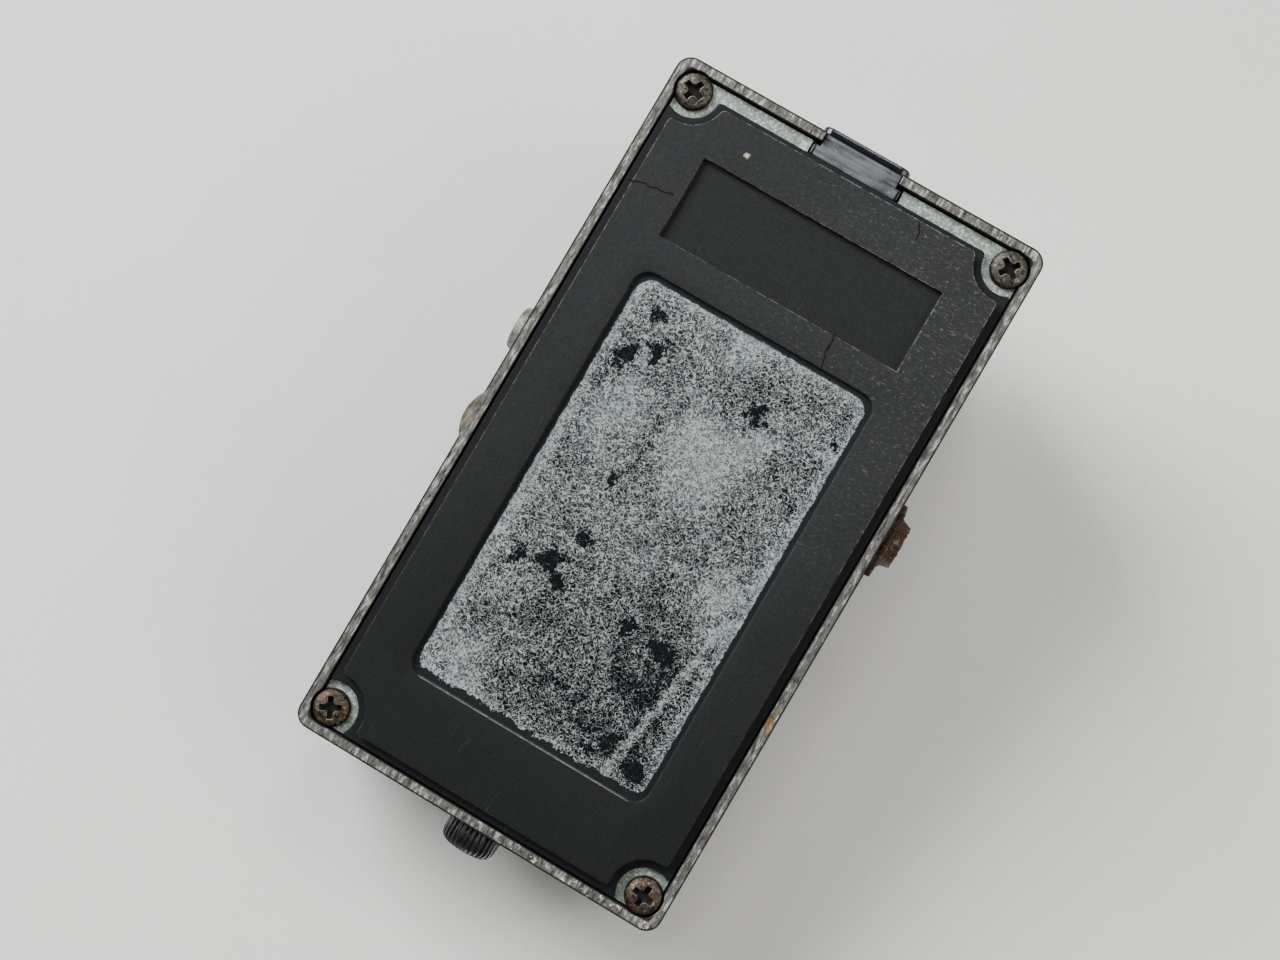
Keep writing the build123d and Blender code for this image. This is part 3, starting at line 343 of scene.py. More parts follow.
# ------------------------------------------------------------------------------- finishes
@dataclass(frozen=True)
class ScuffedRubber(Finish):
    """Moulded black rubber of the base, lighter towards the rear with dust and painted light, and cracked
    with age.

    Attributes:
        rubber: Colour where it is clean.
        dusty: Colour under dust, which also carries the painted light towards the rear.
        fleck: Colour of the pale flecks.
        rubbed: Colour of its worn edges, also standing for painted highlights along them.
        window: The window's half width, its front Y and its rear Y.
        worn_lip_highlight: Half the length of the painted highlight, with some wear, along the window's
            front edge.
        cracks: Ends in plan and width of each crack.
        chip: X, Y and radius of a cream chip.
    """

    rubber: Colour = (0.0052, 0.0062, 0.0068)
    dusty: Colour = (0.041, 0.0425, 0.044)
    fleck: Colour = (0.17, 0.17, 0.165)
    rubbed: Colour = (0.36, 0.36, 0.35)
    window: Point = (21.5, -45.0, 28.2)
    worn_lip_highlight: float = 18.5
    cracks: tuple[tuple[Pair, Pair, float], ...] = (
        ((-10.2, 33.8), (-11.1, 28.3), 0.2), ((30.4, 39.2), (22.8, 40.2), 0.17),
        ((-12.8, 56.0), (-13.9, 53.2), 0.17))
    chip: Point = (15.9, 51.5, 0.55)

    def paint(self) -> bpy.types.Material:
        """Builds the material.

        Returns:
            The finished material.
        """
        p = Paint("scuffed_rubber", rounding=0.35)
        half, front, back = self.window
        # Lighter towards the rear and the -X side: partly dust, partly painted light and sheen from the lit
        # side.
        rear = (p.y + (p.noise(0.05, 3.0) - 0.5) * 40.0).step(-52.0, 64.0)
        right = (-p.x).step(-20.0, 31.0)
        clouds = p.noise(0.16, 4.0, 0.6, shift=7.0)
        mottle = p.noise(1.1, 4.0, 0.7)
        grain = p.noise(2.6, 3.0, 0.75)
        flat = (-p.faces_z).step(0.6, 0.95)
        proud = p.z.step(0.55, 0.3)
        # This dust layer also carries the painted light that brightens the rear and the -X side.
        dust = rear * (0.55 + right * 0.22) + (clouds - 0.5) * 0.55 * (rear + 0.15)
        dust = dust.most(0.0) * (mottle.step(0.25, 0.75) * 0.6 + 0.5) * (grain.step(0.2, 0.8) * 0.9 + 0.4)
        dust = dust * (flat * 0.8 + 0.2) * p.z.step(1.3, 0.9) * (proud * 0.76 + 0.24)
        corner = (rear * 1.6 - 0.55).most(0.0) * right
        flecks = p.noise(1.7, 4.0, 0.8, warp=0.4, stretch=(0.8, 1.4, 1.0), shift=11.0).step(0.555, 0.70)
        flecks = flecks * proud * flat * (corner * 1.1 + rear * 0.14 + 0.015)
        strokes = p.noise(0.8, 3.0, 0.6, stretch=(2.6, 0.25, 1.0), shift=3.0).step(0.62, 0.72)
        strokes = strokes * p.noise(0.12, 2.0, shift=5.0).step(0.48, 0.62) * flat
        broken = p.noise(1.0, 4.0, 0.7, shift=2.0).step(0.44, 0.58)
        inner = abs(p.x).step(half + 0.9, half + 0.6)
        inner = inner * p.y.band((front + back) / 2, (back - front) / 2 + 0.6, 0.3)
        line = p.edge * p.z.step(0.9, 0.45)
        # Mask of the painted highlight, with some wear, along the window's front edge.
        worn_lip_highlight = line * p.y.band(front, 0.5, 0.2) * abs(p.x).step(self.worn_lip_highlight + 1.0, self.worn_lip_highlight)
        # Worn edges, also painted lighter as highlights on the rounded edges, more towards the rear and the
        # -X side.
        worn = line * broken * (rear * (0.42 + right * 0.5) + 0.10) * (1.0 - inner * 0.8)
        tint = p.layers(
            self.rubber,
            ((0.0125, 0.0140, 0.0150), grain.step(0.35, 0.75) * 0.8),
            (self.dusty, dust),
            (self.dusty, strokes * 0.4),
            (self.fleck, flecks * 0.75),
            (self.rubbed, worn),
            # Near white painted highlight on the worn lip along the window's front edge.
            ((0.60, 0.61, 0.60), worn_lip_highlight * (broken * 0.4 + 0.6)))
        lines = functools.reduce(Signal.most, (p.crack(*crack) for crack in self.cracks)) * flat
        tint = p.layers(
            tint,
            ((0.002, 0.002, 0.002), lines),
            ((0.60, 0.52, 0.40), p.spot(*self.chip, (grain - 0.5) * 1.2) * flat * proud))
        rough = 0.52 + dust * 0.45 + grain * 0.10 - p.edge * 0.16
        height = grain * 0.35 + mottle * 0.4 + flecks * 0.3 - lines * 2.0
        return p.finish(tint, rough, p.relief(height, 0.06), Specular_IOR_Level=0.22)


@dataclass(frozen=True)
class LabelFilm(Finish):
    """Crackled and partly lost film of an old adhesive label: pale worms on a thin grey haze.

    Attributes:
        worm: Colour of the worms.
        warm: Their colour where the film is thin.
        haze: Colour of the haze between them.
        blue: Its colour near the window's sides.
        bare: Colour where the film has gone.
        corner: Radius of the film's corners.
        half_width: Half the film's width.
        front: Y of its front edge.
        rear: Y of its rear edge.
        holes: X, Y and radius of each place where it has gone.
        patches: X, Y and radius of each place where it is thicker.
        crease: Ends in plan and width of a thicker streak.
    """

    worm: Colour = (0.41, 0.445, 0.435)
    warm: Colour = (0.43, 0.39, 0.31)
    haze: Colour = (0.122, 0.146, 0.153)
    blue: Colour = (0.125, 0.165, 0.200)
    bare: Colour = (0.0035, 0.0048, 0.0065)
    corner: float = 2.6
    half_width: float = 20.5
    front: float = -44.0
    rear: float = 27.2
    holes: tuple[Point, ...] = (
        (17.0, 14.9, 3.8), (15.2, 23.6, 3.0), (12.3, 18.0, 2.8), (-6.6, 16.6, 2.8), (-19.2, 19.0, 1.6),
        (7.4, -13.6, 2.4), (10.6, -19.0, 4.0), (8.0, -21.0, 3.0), (14.8, -20.4, 2.6), (-5.4, -22.0, 2.6),
        (-11.8, -22.8, 3.2), (-17.2, -40.0, 3.4), (-12.4, -38.9, 2.4), (8.2, -3.7, 1.0))
    patches: tuple[Point, ...] = (
        (-2.0, 6.0, 11.0), (14.5, -39.0, 6.0), (13.0, 7.0, 7.0), (-15.4, -9.6, 5.0), (-8.0, 13.0, 3.0),
        (1.0, 25.0, 5.0))
    crease: tuple[Pair, Pair, float] = ((-13.6, -43.5), (-18.6, -13.0), 1.1)

    def paint(self) -> bpy.types.Material:
        """Builds the material.

        Returns:
            The finished material.
        """
        p = Paint("label_film", rounding=0.05)
        first = abs(p.noise(1.25, 1.0, 0.5, warp=0.8) - 0.5)
        second = abs(p.noise(1.6, 1.0, 0.5, warp=0.6, shift=9.0) - 0.5)
        cloud = p.noise(0.13, 4.0, 0.62, warp=0.3, shift=4.0) * 0.6
        cloud = cloud + p.noise(0.55, 4.0, 0.6, shift=13.0) * 0.4
        density = (cloud - 0.5) * 0.95 + 0.47
        density = density - p.y.step(-6.0, -30.0) * p.x.step(16.0, -2.0) * 0.17
        torn = p.noise(0.45, 4.0, 0.7, shift=17.0)
        fray = (torn - 0.5) * 11.0
        for x, y, size in self.holes:
            density = density - p.spot(x, y, size * 0.6, fray) * 0.46
        for x, y, size in self.patches:
            density = density + p.spot(x, y, size, fray) * 0.20
        density = density + p.crack(*self.crease) * 0.25
        rim = p.outside(self.half_width, self.front, self.rear, self.corner)
        density = density + rim.step(-2.6, -0.6) * 0.16 + rim.step(-0.5, 0.1) * 0.2
        density = density.most(0.08).least(1.0)
        solid = density.step(0.72, 0.98)
        sparse = density.step(0.30, 0.05)
        limit = density * 0.064 - 0.004
        fill = (limit - first.least(second + sparse * 0.2)).step(-0.005, 0.006)
        thin = density.step(0.34, 0.84)
        side = (-p.x).step(15.5, 20.0).most(rim.step(-0.9, 0.0))
        tone = p.noise(0.12, 3.0, 0.5, shift=21.0)
        haze = p.layers(
            self.haze,
            ((0.128, 0.140, 0.134), tone.step(0.42, 0.62) * 0.8),
            (self.blue, side * 0.8))
        light = p.layers(
            self.worm,
            (self.warm, sparse * 0.7 + tone.step(0.50, 0.66) * 0.12),
            ((0.175, 0.202, 0.205), solid * 0.9))
        tint = p.layers(self.bare, (haze, thin * 0.95), (light, fill * (0.92 - solid * 0.35)))
        torn_edge = (torn - 0.5) * 3.0 + (first - 0.08) * 2.0
        ragged = (rim - 0.1 + torn_edge * 0.25).most(self.front + 0.35 - p.y + torn_edge)
        alpha = ragged.step(0.05, -0.15)
        rough = 0.66 - (1.0 - fill) * 0.10
        return p.finish(tint, rough, p.relief(fill, 0.05), Alpha=alpha, Specular_IOR_Level=0.07)


@dataclass(frozen=True)
class CastHousing(Finish):
    """Painted die casting whose machined rim is bare and scratched lengthwise.

    Attributes:
        hollow: 1 if it is bare inside, or 0 if it is painted all over.
        paint_colour: Colour of the paint.
        metal_colour: Colour of the bare rim.
        rim_height: Z of the rim's face.
        half_width: X of the side walls' faces.
        half_length: Y of the end walls' faces.
        corner: Radius of the corners in plan.
        rim_wall: Width of the rim.
        inner_half_width: X of the side walls' inner faces.
        inner_half_length: Y of the end walls' inner faces.
        shelf_height: Z of the shelf over the jacks.
        ceiling: Z of the deck's inner face.
        deck_inner_y: Y behind which the inside is open up to the deck.
        lug_y: Y of the low lug on the +X side.
        tarnish: X, Y and radius of the browned place at the lug.
        stain: X, Y and radius of an ochre stain on the rim.
        scuffed_y: Y in front of which the rim has pale scuffs.
    """

    hollow: float = 1.0
    paint_colour: Colour = (0.020, 0.022, 0.024)
    metal_colour: Colour = (0.165, 0.163, 0.150)
    rim_height: float = 1.2
    half_width: float = 33.0
    half_length: float = 61.3
    corner: float = 2.6
    rim_wall: float = 1.7
    inner_half_width: float = 30.4
    inner_half_length: float = 58.7
    shelf_height: float = 24.1
    ceiling: float = 42.7
    deck_inner_y: float = 8.2
    lug_y: float = -5.5
    tarnish: Point = (33.5, -5.4, 4.4)
    stain: Point = (-32.3, -23.3, 2.7)
    scuffed_y: float = -59.0

    def paint(self) -> bpy.types.Material:
        """Builds the material.

        Returns:
            The finished material.
        """
        p = Paint(f"cast_housing_{round(self.hollow)}", rounding=0.3)
        depth = p.outside(self.half_width, -self.half_length, self.half_length, self.corner)
        grain = p.noise(2.4, 3.0, 0.65)
        rim = p.z.step(self.rim_height + 0.42, self.rim_height + 0.22)
        inner = abs(p.x).step(self.inner_half_width + 0.5, self.inner_half_width)
        inner = inner * abs(p.y).step(self.inner_half_length + 0.5, self.inner_half_length)
        inner = inner * p.z.step(self.ceiling + 0.2, self.ceiling) * self.hollow
        inner = inner * p.z.step(self.shelf_height + 0.1, self.shelf_height).most(
            p.y.step(self.deck_inner_y, self.deck_inner_y + 0.1))
        chips = p.edge * p.noise(0.9, 4.0, 0.7, shift=5.0).step(0.56, 0.66)
        metal = rim.most(inner).most(chips * 0.9)
        strokes = p.noise(1.0, 3.0, 0.7, warp=0.25, stretch=(1.9, 0.42, 1.0))
        fine = p.noise(1.0, 3.0, 0.7, warp=0.2, stretch=(3.4, 0.9, 1.0), shift=6.0)
        blotch = p.noise(0.5, 4.0, 0.7, shift=17.0)
        bright = p.layers(
            self.metal_colour,
            ((0.54, 0.535, 0.50), strokes.step(0.53, 0.63) * 0.9),
            ((0.045, 0.043, 0.037), strokes.step(0.47, 0.38) * 0.85),
            ((0.055, 0.052, 0.044), fine.step(0.56, 0.66) * 0.8),
            ((0.15, 0.14, 0.115), blotch.step(0.52, 0.70) * 0.6))
        tarnish = p.spot(*self.tarnish) * blotch.step(0.40, 0.56)
        bright = p.layers(bright, ((0.19, 0.16, 0.10), tarnish * 0.75))
        stain = p.spot(*self.stain) * p.noise(1.0, 3.0, shift=2.0).step(0.38, 0.56)
        bright = p.layers(bright, ((0.30, 0.175, 0.045), stain * 0.85))
        pale = p.noise(0.9, 3.0, 0.7, shift=31.0).step(0.60, 0.66)
        pale = pale * (-p.y).step(-self.scuffed_y, 1.0 - self.scuffed_y)
        bright = p.layers(bright, ((0.80, 0.76, 0.66), pale * (-p.x).step(-8.0, 2.0)))
        lug = p.x.step(31.0, 32.0) * p.y.band(self.lug_y, 3.6, 0.8)
        # Dark line where the paint meets the rim's outer edge.
        outline = depth.band(-0.06, 0.16, 0.10) * (1.0 - lug * 0.8)
        # Painted shade of the gap along the rim's inner edge, in the same dark colour.
        outline = outline.most(depth.step(-self.rim_wall + 0.22, -self.rim_wall + 0.08))
        bright = p.layers(
            bright,
            ((0.018, 0.017, 0.016), outline * (strokes.step(0.3, 0.5) * 0.3 + 0.65)),
            ((0.27, 0.27, 0.26), inner))
        dust = p.noise(0.25, 5.0, 0.7, shift=15.0).step(0.5, 0.8)
        tint = p.layers(
            self.paint_colour,
            ((0.032, 0.034, 0.036), grain.step(0.4, 0.7)),
            ((0.10, 0.098, 0.09), dust * 0.22))
        scratch = p.noise(0.5, 3.0, 0.6, stretch=(0.25, 4.0, 1.0), shift=9.0).step(0.66, 0.70)
        scratch = scratch * p.noise(0.1, 2.0, shift=4.0).step(0.5, 0.6)
        tint = p.layers(tint, ((0.11, 0.11, 0.105), scratch * 0.5), (bright, metal))
        peel = p.noise(1.4, 2.0, 0.5)
        rough = 0.44 + dust * 0.2 + grain * 0.08 + metal * (0.02 + blotch * 0.2)
        height = peel * 0.35 + grain * 0.15 - metal * 0.4 + strokes * rim * 0.6
        return p.finish(tint, rough, p.relief(height, 0.07), metal=metal * 0.62, Specular_IOR_Level=0.2)


@dataclass(frozen=True)
class ZincPlate(Finish):
    """Zinc-plated sheet, dull and greenish with fine sparkle."""

    zinc: Colour = (0.300, 0.350, 0.305)
    dark: Colour = (0.13, 0.155, 0.13)

    def paint(self) -> bpy.types.Material:
        """Builds the material.

        Returns:
            The finished material.
        """
        p = Paint("zinc_plate", rounding=0.15)
        crystals = p.cells(1.9)
        sparkle = p.noise(2.3, 3.0, 0.7, shift=3.0)
        clouds = p.noise(0.5, 3.0, 0.6)
        tint = p.layers(
            self.zinc,
            (self.dark, clouds.step(0.45, 0.75) * 0.5),
            ((0.80, 0.86, 0.80), sparkle.step(0.53, 0.63) * 0.85),
            (self.dark, sparkle.step(0.46, 0.36) * 0.7))
        rim = p.edge * p.noise(0.8, 2.0).step(0.4, 0.6)
        tint = p.layers(tint, ((0.12, 0.10, 0.07), rim * 0.6))
        rough = 0.38 + clouds * 0.22 + crystals * 0.08
        return p.finish(tint, rough, p.relief(sparkle * 0.6 + crystals * 0.4, 0.05), metal=0.45)


@dataclass(frozen=True)
class RustySteel(Finish):
    """Steel that has browned, with rust in its hollows and worn edges.

    Attributes:
        rust: How much of the surface has rusted on the -X side, from 0 to 1.
        rust_across: The same on the +X side.
        steel: Colour where it has only browned.
    """

    rust: float = 0.85
    rust_across: float = 0.15
    steel: Colour = (0.20, 0.19, 0.165)
    brown: Colour = (0.042, 0.020, 0.011)
    orange: Colour = (0.15, 0.052, 0.018)
    polished: Colour = (0.50, 0.44, 0.34)

    def paint(self) -> bpy.types.Material:
        """Builds the material.

        Returns:
            The finished material.
        """
        p = Paint(f"rusty_steel_{round(self.rust * 100)}", rounding=0.12)
        share = p.x.step(6.0, -6.0) * (self.rust - self.rust_across) + self.rust_across
        pits = p.noise(1.3, 5.0, 0.75)
        scale = p.noise(2.2, 4.0, 0.7, shift=5.0)
        patch = p.noise(0.5, 3.0, 0.6, shift=2.0)
        rusted = (pits * 0.6 + patch * 0.4 + share * 0.36).step(0.66, 0.76)
        tint = p.layers(
            self.steel,
            (tuple(2.2 * c for c in self.steel), scale.step(0.5, 0.7) * 0.6),
            (tuple(0.3 * c for c in self.steel), scale.step(0.46, 0.34) * 0.8),
            (self.brown, rusted),
            (self.orange, rusted * scale.step(0.50, 0.64) * share),
            ((0.008, 0.006, 0.005), pits.step(0.42, 0.32)))
        worn = p.edge * (1.0 - rusted * 0.6) * scale.step(0.34, 0.52)
        tint = p.layers(tint, (self.polished, worn * 0.7))
        flakes = p.noise(1.2, 4.0, 0.75, shift=23.0).step(0.60, 0.66) * share
        tint = p.layers(tint, ((0.55, 0.45, 0.36), flakes * 0.75))
        rough = 0.40 + rusted * 0.42 + scale * 0.12
        height = pits * 0.6 + scale * 0.4 * (rusted + 0.2)
        return p.finish(tint, rough, p.relief(height, 0.10 + 0.14 * self.rust), metal=0.8 - rusted * 0.7)


@dataclass(frozen=True)
class BronzedScrew(Finish):
    """Dark bronzed screw with painted shade in its driver recess and round its head's rim, and with the
    recess's edges worn bright.

    Attributes:
        half_width: X of the screws' axes.
        half_length: Y of the screws' axes.
        crown: Z of the top of the dome.
    """

    half_width: float = 28.6
    half_length: float = 56.6
    crown: float = 0.9
    rear: Colour = (0.080, 0.074, 0.058)
    front: Colour = (0.082, 0.060, 0.042)
    worn: Colour = (0.62, 0.55, 0.42)

    def paint(self) -> bpy.types.Material:
        """Builds the material.

        Returns:
            The finished material.
        """
        p = Paint("bronzed_screw", rounding=0.14)
        across, along = abs(p.x) - self.half_width, abs(p.y) - self.half_length
        away = p.maths("SQRT", across * across + along * along)
        grain = p.noise(2.0, 4.0, 0.75)
        pits = p.noise(1.1, 4.0, 0.7, shift=3.0)
        older = p.y.step(10.0, -10.0)
        tint = p.layers(
            self.rear,
            (self.front, older),
            ((0.36, 0.32, 0.24), grain.step(0.54, 0.64) * 0.75),
            ((0.014, 0.011, 0.008), pits.step(0.50, 0.40) * 0.9),
            ((0.11, 0.038, 0.014), pits.step(0.56, 0.64) * older * 0.7),
            # Painted shade round the head's rim, where it meets its seat.
            ((0.012, 0.010, 0.008), away.step(2.65, 3.05) * 0.8))
        lip = p.edge * away.step(2.35, 2.15) * p.noise(0.9, 3.0, shift=7.0).step(0.36, 0.50)
        tint = p.layers(tint, (self.worn, lip * (1.0 - older * 0.35)))
        # Painted shade: the driver recess is painted near black.
        hollow = (p.z - self.crown - away * away * 0.06).step(0.16, 0.40) * away.step(2.5, 2.25)
        tint = p.layers(tint, ((0.004, 0.0035, 0.003), hollow * 0.95))
        rough = 0.38 + pits * 0.28 + hollow * 0.4
        return p.finish(tint, rough, p.relief(grain * 0.5 + pits * 0.5, 0.10), metal=0.75 - hollow * 0.75)


@dataclass(frozen=True)
class PlatedSteel(Finish):
    """Nickel or tin plate, slightly dulled."""

    plate: Colour = (0.46, 0.45, 0.42)

    def paint(self) -> bpy.types.Material:
        """Builds the material.

        Returns:
            The finished material.
        """
        p = Paint("plated_steel", rounding=0.1)
        haze = p.noise(0.8, 4.0, 0.6)
        turned = p.noise(6.0, 2.0, 0.5, stretch=(1.0, 1.0, 0.2))
        tint = p.layers(
            self.plate,
            ((0.36, 0.35, 0.31), haze.step(0.45, 0.75) * 0.6),
            ((0.80, 0.79, 0.75), p.edge * 0.5))
        return p.finish(tint, 0.22 + haze * 0.25 + turned * 0.05, p.relief(turned, 0.01), metal=1.0)


@dataclass(frozen=True)
class MouldedPlastic(Finish):
    """Moulded black plastic, matt or glossy, with smears of dust and rubbed edges.

    Attributes:
        gloss: From 0, matt, to 1, glossy.
        dust: How much dust lies on it.
    """

    gloss: float = 0.2
    dust: float = 0.3
    plastic: Colour = (0.012, 0.013, 0.016)

    def paint(self) -> bpy.types.Material:
        """Builds the material.

        Returns:
            The finished material.
        """
        p = Paint(f"moulded_plastic_{round(self.gloss * 100)}_{round(self.dust * 100)}", rounding=0.2)
        grain = p.noise(6.0, 3.0, 0.6)
        smear = p.noise(0.7, 4.0, 0.65, stretch=(1.0, 0.35, 1.0))
        tint = p.layers(
            self.plastic,
            ((0.15, 0.15, 0.145), smear.step(0.42, 0.72) * self.dust * 0.55),
            ((0.09, 0.092, 0.10), p.edge * 0.45))
        rough = 0.46 - 0.30 * self.gloss + smear * 0.22 * (self.dust + 0.2) + grain * 0.05
        return p.finish(tint, rough, p.relief(grain * 0.5 + smear * 0.5, 0.02), Specular_IOR_Level=0.55)


@dataclass(frozen=True)
class DustyFlange(Finish):
    """The supply socket's moulding: glossy lip, with grey dust on the face between it and the base."""

    plastic: Colour = (0.006, 0.007, 0.012)
    dust: Colour = (0.150, 0.164, 0.172)
    half_width: float = 7.5
    lip_y: float = 61.25

    def paint(self) -> bpy.types.Material:
        """Builds the material.

        Returns:
            The finished material.
        """
        p = Paint("dusty_flange", rounding=0.55)
        down = (-p.faces_z).step(0.5, 0.9)
        sheltered = p.y.step(self.lip_y, self.lip_y - 0.3) * down
        sheltered = sheltered * abs(p.x).step(self.half_width, self.half_width - 0.35)
        smear = p.noise(0.8, 4.0, 0.7, stretch=(0.16, 2.2, 1.0))
        wiped = p.noise(0.22, 3.0, 0.6, stretch=(0.8, 1.4, 1.0), shift=8.0)
        specks = p.noise(1.3, 3.0, 0.7, stretch=(0.5, 1.6, 1.0), shift=3.0).step(0.66, 0.72)
        dusty = sheltered * (0.12 + smear.step(0.30, 0.64) * 0.5 + wiped.step(0.36, 0.62) * 0.42)
        tint = p.layers(
            self.plastic,
            (self.dust, dusty),
            ((0.50, 0.52, 0.52), specks * sheltered * 0.6))
        outer = p.faces_y.step(0.6, 0.9)
        rough = 0.12 + dusty * 0.42 + smear * 0.08 + outer * 0.40
        return p.finish(tint, rough, p.relief(smear, 0.03), Coat_Weight=0.5 - outer * 0.5,
                        Coat_Roughness=0.06)


@dataclass(frozen=True)
class Nylon(Finish):
    """Natural nylon, slightly waxy."""

    nylon: Colour = (0.60, 0.56, 0.45)

    def paint(self) -> bpy.types.Material:
        """Builds the material.

        Returns:
            The finished material.
        """
        p = Paint("nylon", rounding=0.2)
        cloud = p.noise(1.2, 3.0, 0.6)
        tint = p.layers(self.nylon, ((0.42, 0.36, 0.26), cloud.step(0.5, 0.8) * 0.6))
        return p.finish(tint, 0.42 + cloud * 0.15, p.relief(cloud, 0.03))


@dataclass(frozen=True)
class Foam(Finish):
    """Open grey-black foam with visible pores."""

    foam: Colour = (0.035, 0.035, 0.036)

    def paint(self) -> bpy.types.Material:
        """Builds the material.

        Returns:
            The finished material.
        """
        p = Paint("foam", rounding=0.4)
        pores = p.cells(2.2)
        tint = p.layers((0.006, 0.006, 0.006), (self.foam, pores.step(0.15, 0.5)))
        return p.finish(tint, 0.92, p.relief(pores.step(0.1, 0.6), 0.15))


@dataclass(frozen=True)
class BatteryJacket(Finish):
    """Plain two-tone steel jacket with a bare band, crimped ends and small scuffs."""

    dark: Colour = (0.020, 0.024, 0.035)
    band: Colour = (0.33, 0.24, 0.10)
    band_from: float = 8.0
    band_to: float = 14.0
    crimps: Pair = (-26.6, 19.6)

    def paint(self) -> bpy.types.Material:
        """Builds the material.

        Returns:
            The finished material.
        """
        p = Paint("battery_jacket", rounding=0.5)
        scuff = p.noise(0.9, 5.0, 0.7).step(0.62, 0.70)
        stripe = p.x.step(self.band_from, self.band_from + 0.15)
        stripe = stripe * p.x.step(self.band_to + 0.15, self.band_to)
        low, high = self.crimps
        crimp = p.x.step(high, high + 0.4).most(p.x.step(low, low - 0.4))
        tint = p.layers(
            self.dark,
            (self.band, stripe),
            ((0.5, 0.5, 0.48), crimp.most(scuff * 0.6).most(p.edge * 0.3)))
        metal = crimp.most(stripe * 0.8).most(scuff * 0.6)
        return p.finish(tint, 0.30 + scuff * 0.2, p.relief(p.noise(1.5, 3.0), 0.03), metal=metal)


@dataclass(frozen=True)
class LeadInsulation(Finish):
    """PVC insulation, red above a height and black below it."""

    split: float = 16.4
    red: Colour = (0.30, 0.012, 0.010)
    black: Colour = (0.010, 0.010, 0.011)

    def paint(self) -> bpy.types.Material:
        """Builds the material.

        Returns:
            The finished material.
        """
        p = Paint("lead_insulation", rounding=0.2)
        grime = p.noise(1.1, 3.0, 0.6)
        upper = p.z.step(self.split - 0.02, self.split + 0.02)
        tint = p.layers(
            self.black,
            (self.red, upper),
            ((0.05, 0.045, 0.04), grime.step(0.5, 0.8) * 0.5))
        return p.finish(tint, 0.34 + grime * 0.2, p.relief(grime, 0.02))


@dataclass(frozen=True)
class CircuitBoard(Finish):
    """Brown laminate with tinned tracks and solder dots on a square grid."""

    grid: float = 1.27
    laminate: Colour = (0.20, 0.115, 0.035)
    track: Colour = (0.34, 0.27, 0.09)
    solder: Colour = (0.62, 0.61, 0.58)

    def paint(self) -> bpy.types.Material:
        """Builds the material.

        Returns:
            The finished material.
        """
        p = Paint("circuit_board", rounding=0.1)
        weave = p.noise(3.0, 3.0, 0.6, stretch=(1.0, 0.2, 1.0))
        grid_x, grid_y = (abs(p.maths("PINGPONG", along, self.grid) - self.grid / 2) for along in (p.x, p.y))
        lanes = p.noise(0.16, 1.0, shift=3.0)
        tracks = grid_x.step(0.36, 0.28) * lanes.step(0.5, 0.52)
        tracks = tracks.most(grid_y.step(0.36, 0.28) * lanes.step(0.46, 0.44))
        dots = grid_x.most(grid_y).step(0.34, 0.2) * p.noise(0.45, 2.0, shift=7.0).step(0.52, 0.54)
        tint = p.layers(
            self.laminate,
            ((0.13, 0.07, 0.02), weave.step(0.4, 0.7)),
            (self.track, tracks * 0.8),
            (self.solder, dots))
        rough = 0.42 - dots * 0.16
        return p.finish(tint, rough, p.relief(tracks * 0.3 + dots, 0.08), metal=dots * 0.9)


@dataclass(frozen=True)
class InsulatingCard(Finish):
    """Pressed fibre card."""

    card: Colour = (0.085, 0.080, 0.070)

    def paint(self) -> bpy.types.Material:
        """Builds the material.

        Returns:
            The finished material.
        """
        p = Paint("insulating_card", rounding=0.1)
        fibre = p.noise(1.6, 5.0, 0.7, stretch=(1.0, 0.4, 1.0))
        tint = p.layers(self.card, ((0.14, 0.13, 0.11), fibre.step(0.45, 0.65)))
        return p.finish(tint, 0.85, p.relief(fibre, 0.04))


@dataclass(frozen=True)
class LampResin(Finish):
    """Clear red resin of the lamp, with a lighter red haze painted in as its die's faint glow."""

    resin: Colour = (0.42, 0.008, 0.006)

    def paint(self) -> bpy.types.Material:
        """Builds the material.

        Returns:
            The finished material.
        """
        p = Paint("lamp_resin", rounding=0.3)
        haze = p.noise(0.9, 3.0, 0.6)
        # The lighter red haze is a painted glow of the die.
        tint = p.layers(self.resin, ((0.62, 0.05, 0.03), haze.step(0.4, 0.7)))
        return p.finish(tint, 0.12 + haze * 0.1, p.relief(haze, 0.02), Coat_Weight=0.6,
                        Transmission_Weight=0.25, IOR=1.5)


@dataclass(frozen=True)
class PolishedBezel(Finish):
    """Turned and polished bright metal."""

    metal: Colour = (0.78, 0.78, 0.76)

    def paint(self) -> bpy.types.Material:
        """Builds the material.

        Returns:
            The finished material.
        """
        p = Paint("polished_bezel", rounding=0.2)
        turned = p.noise(5.0, 2.0, 0.5, stretch=(1.0, 1.0, 3.0))
        film = p.noise(0.7, 3.0, 0.6)
        tint = p.layers(self.metal, ((0.5, 0.5, 0.48), film.step(0.5, 0.8) * 0.5))
        return p.finish(tint, 0.14 + film * 0.16, p.relief(turned, 0.008), metal=1.0)


@dataclass(frozen=True)
class TreadRubber(Finish):
    """Ribbed rubber of the treadle, greyed where feet rub it."""

    rubber: Colour = (0.0125, 0.013, 0.0135)
    worn: Colour = (0.055, 0.054, 0.051)

    def paint(self) -> bpy.types.Material:
        """Builds the material.

        Returns:
            The finished material.
        """
        p = Paint("tread_rubber", rounding=0.35)
        grain = p.noise(5.0, 3.0, 0.7)
        mottle = p.noise(0.5, 4.0, 0.65)
        rub = mottle.step(0.35, 0.7) * p.faces_z.step(0.5, 0.95)
        tint = p.layers(
            self.rubber,
            (self.worn, rub * 0.55),
            ((0.16, 0.155, 0.145), p.edge * p.noise(1.2, 3.0, shift=3.0).step(0.5, 0.65) * 0.5))
        return p.finish(tint, 0.55 + rub * 0.25 + grain * 0.08, p.relief(grain * 0.5 + mottle * 0.5, 0.06))


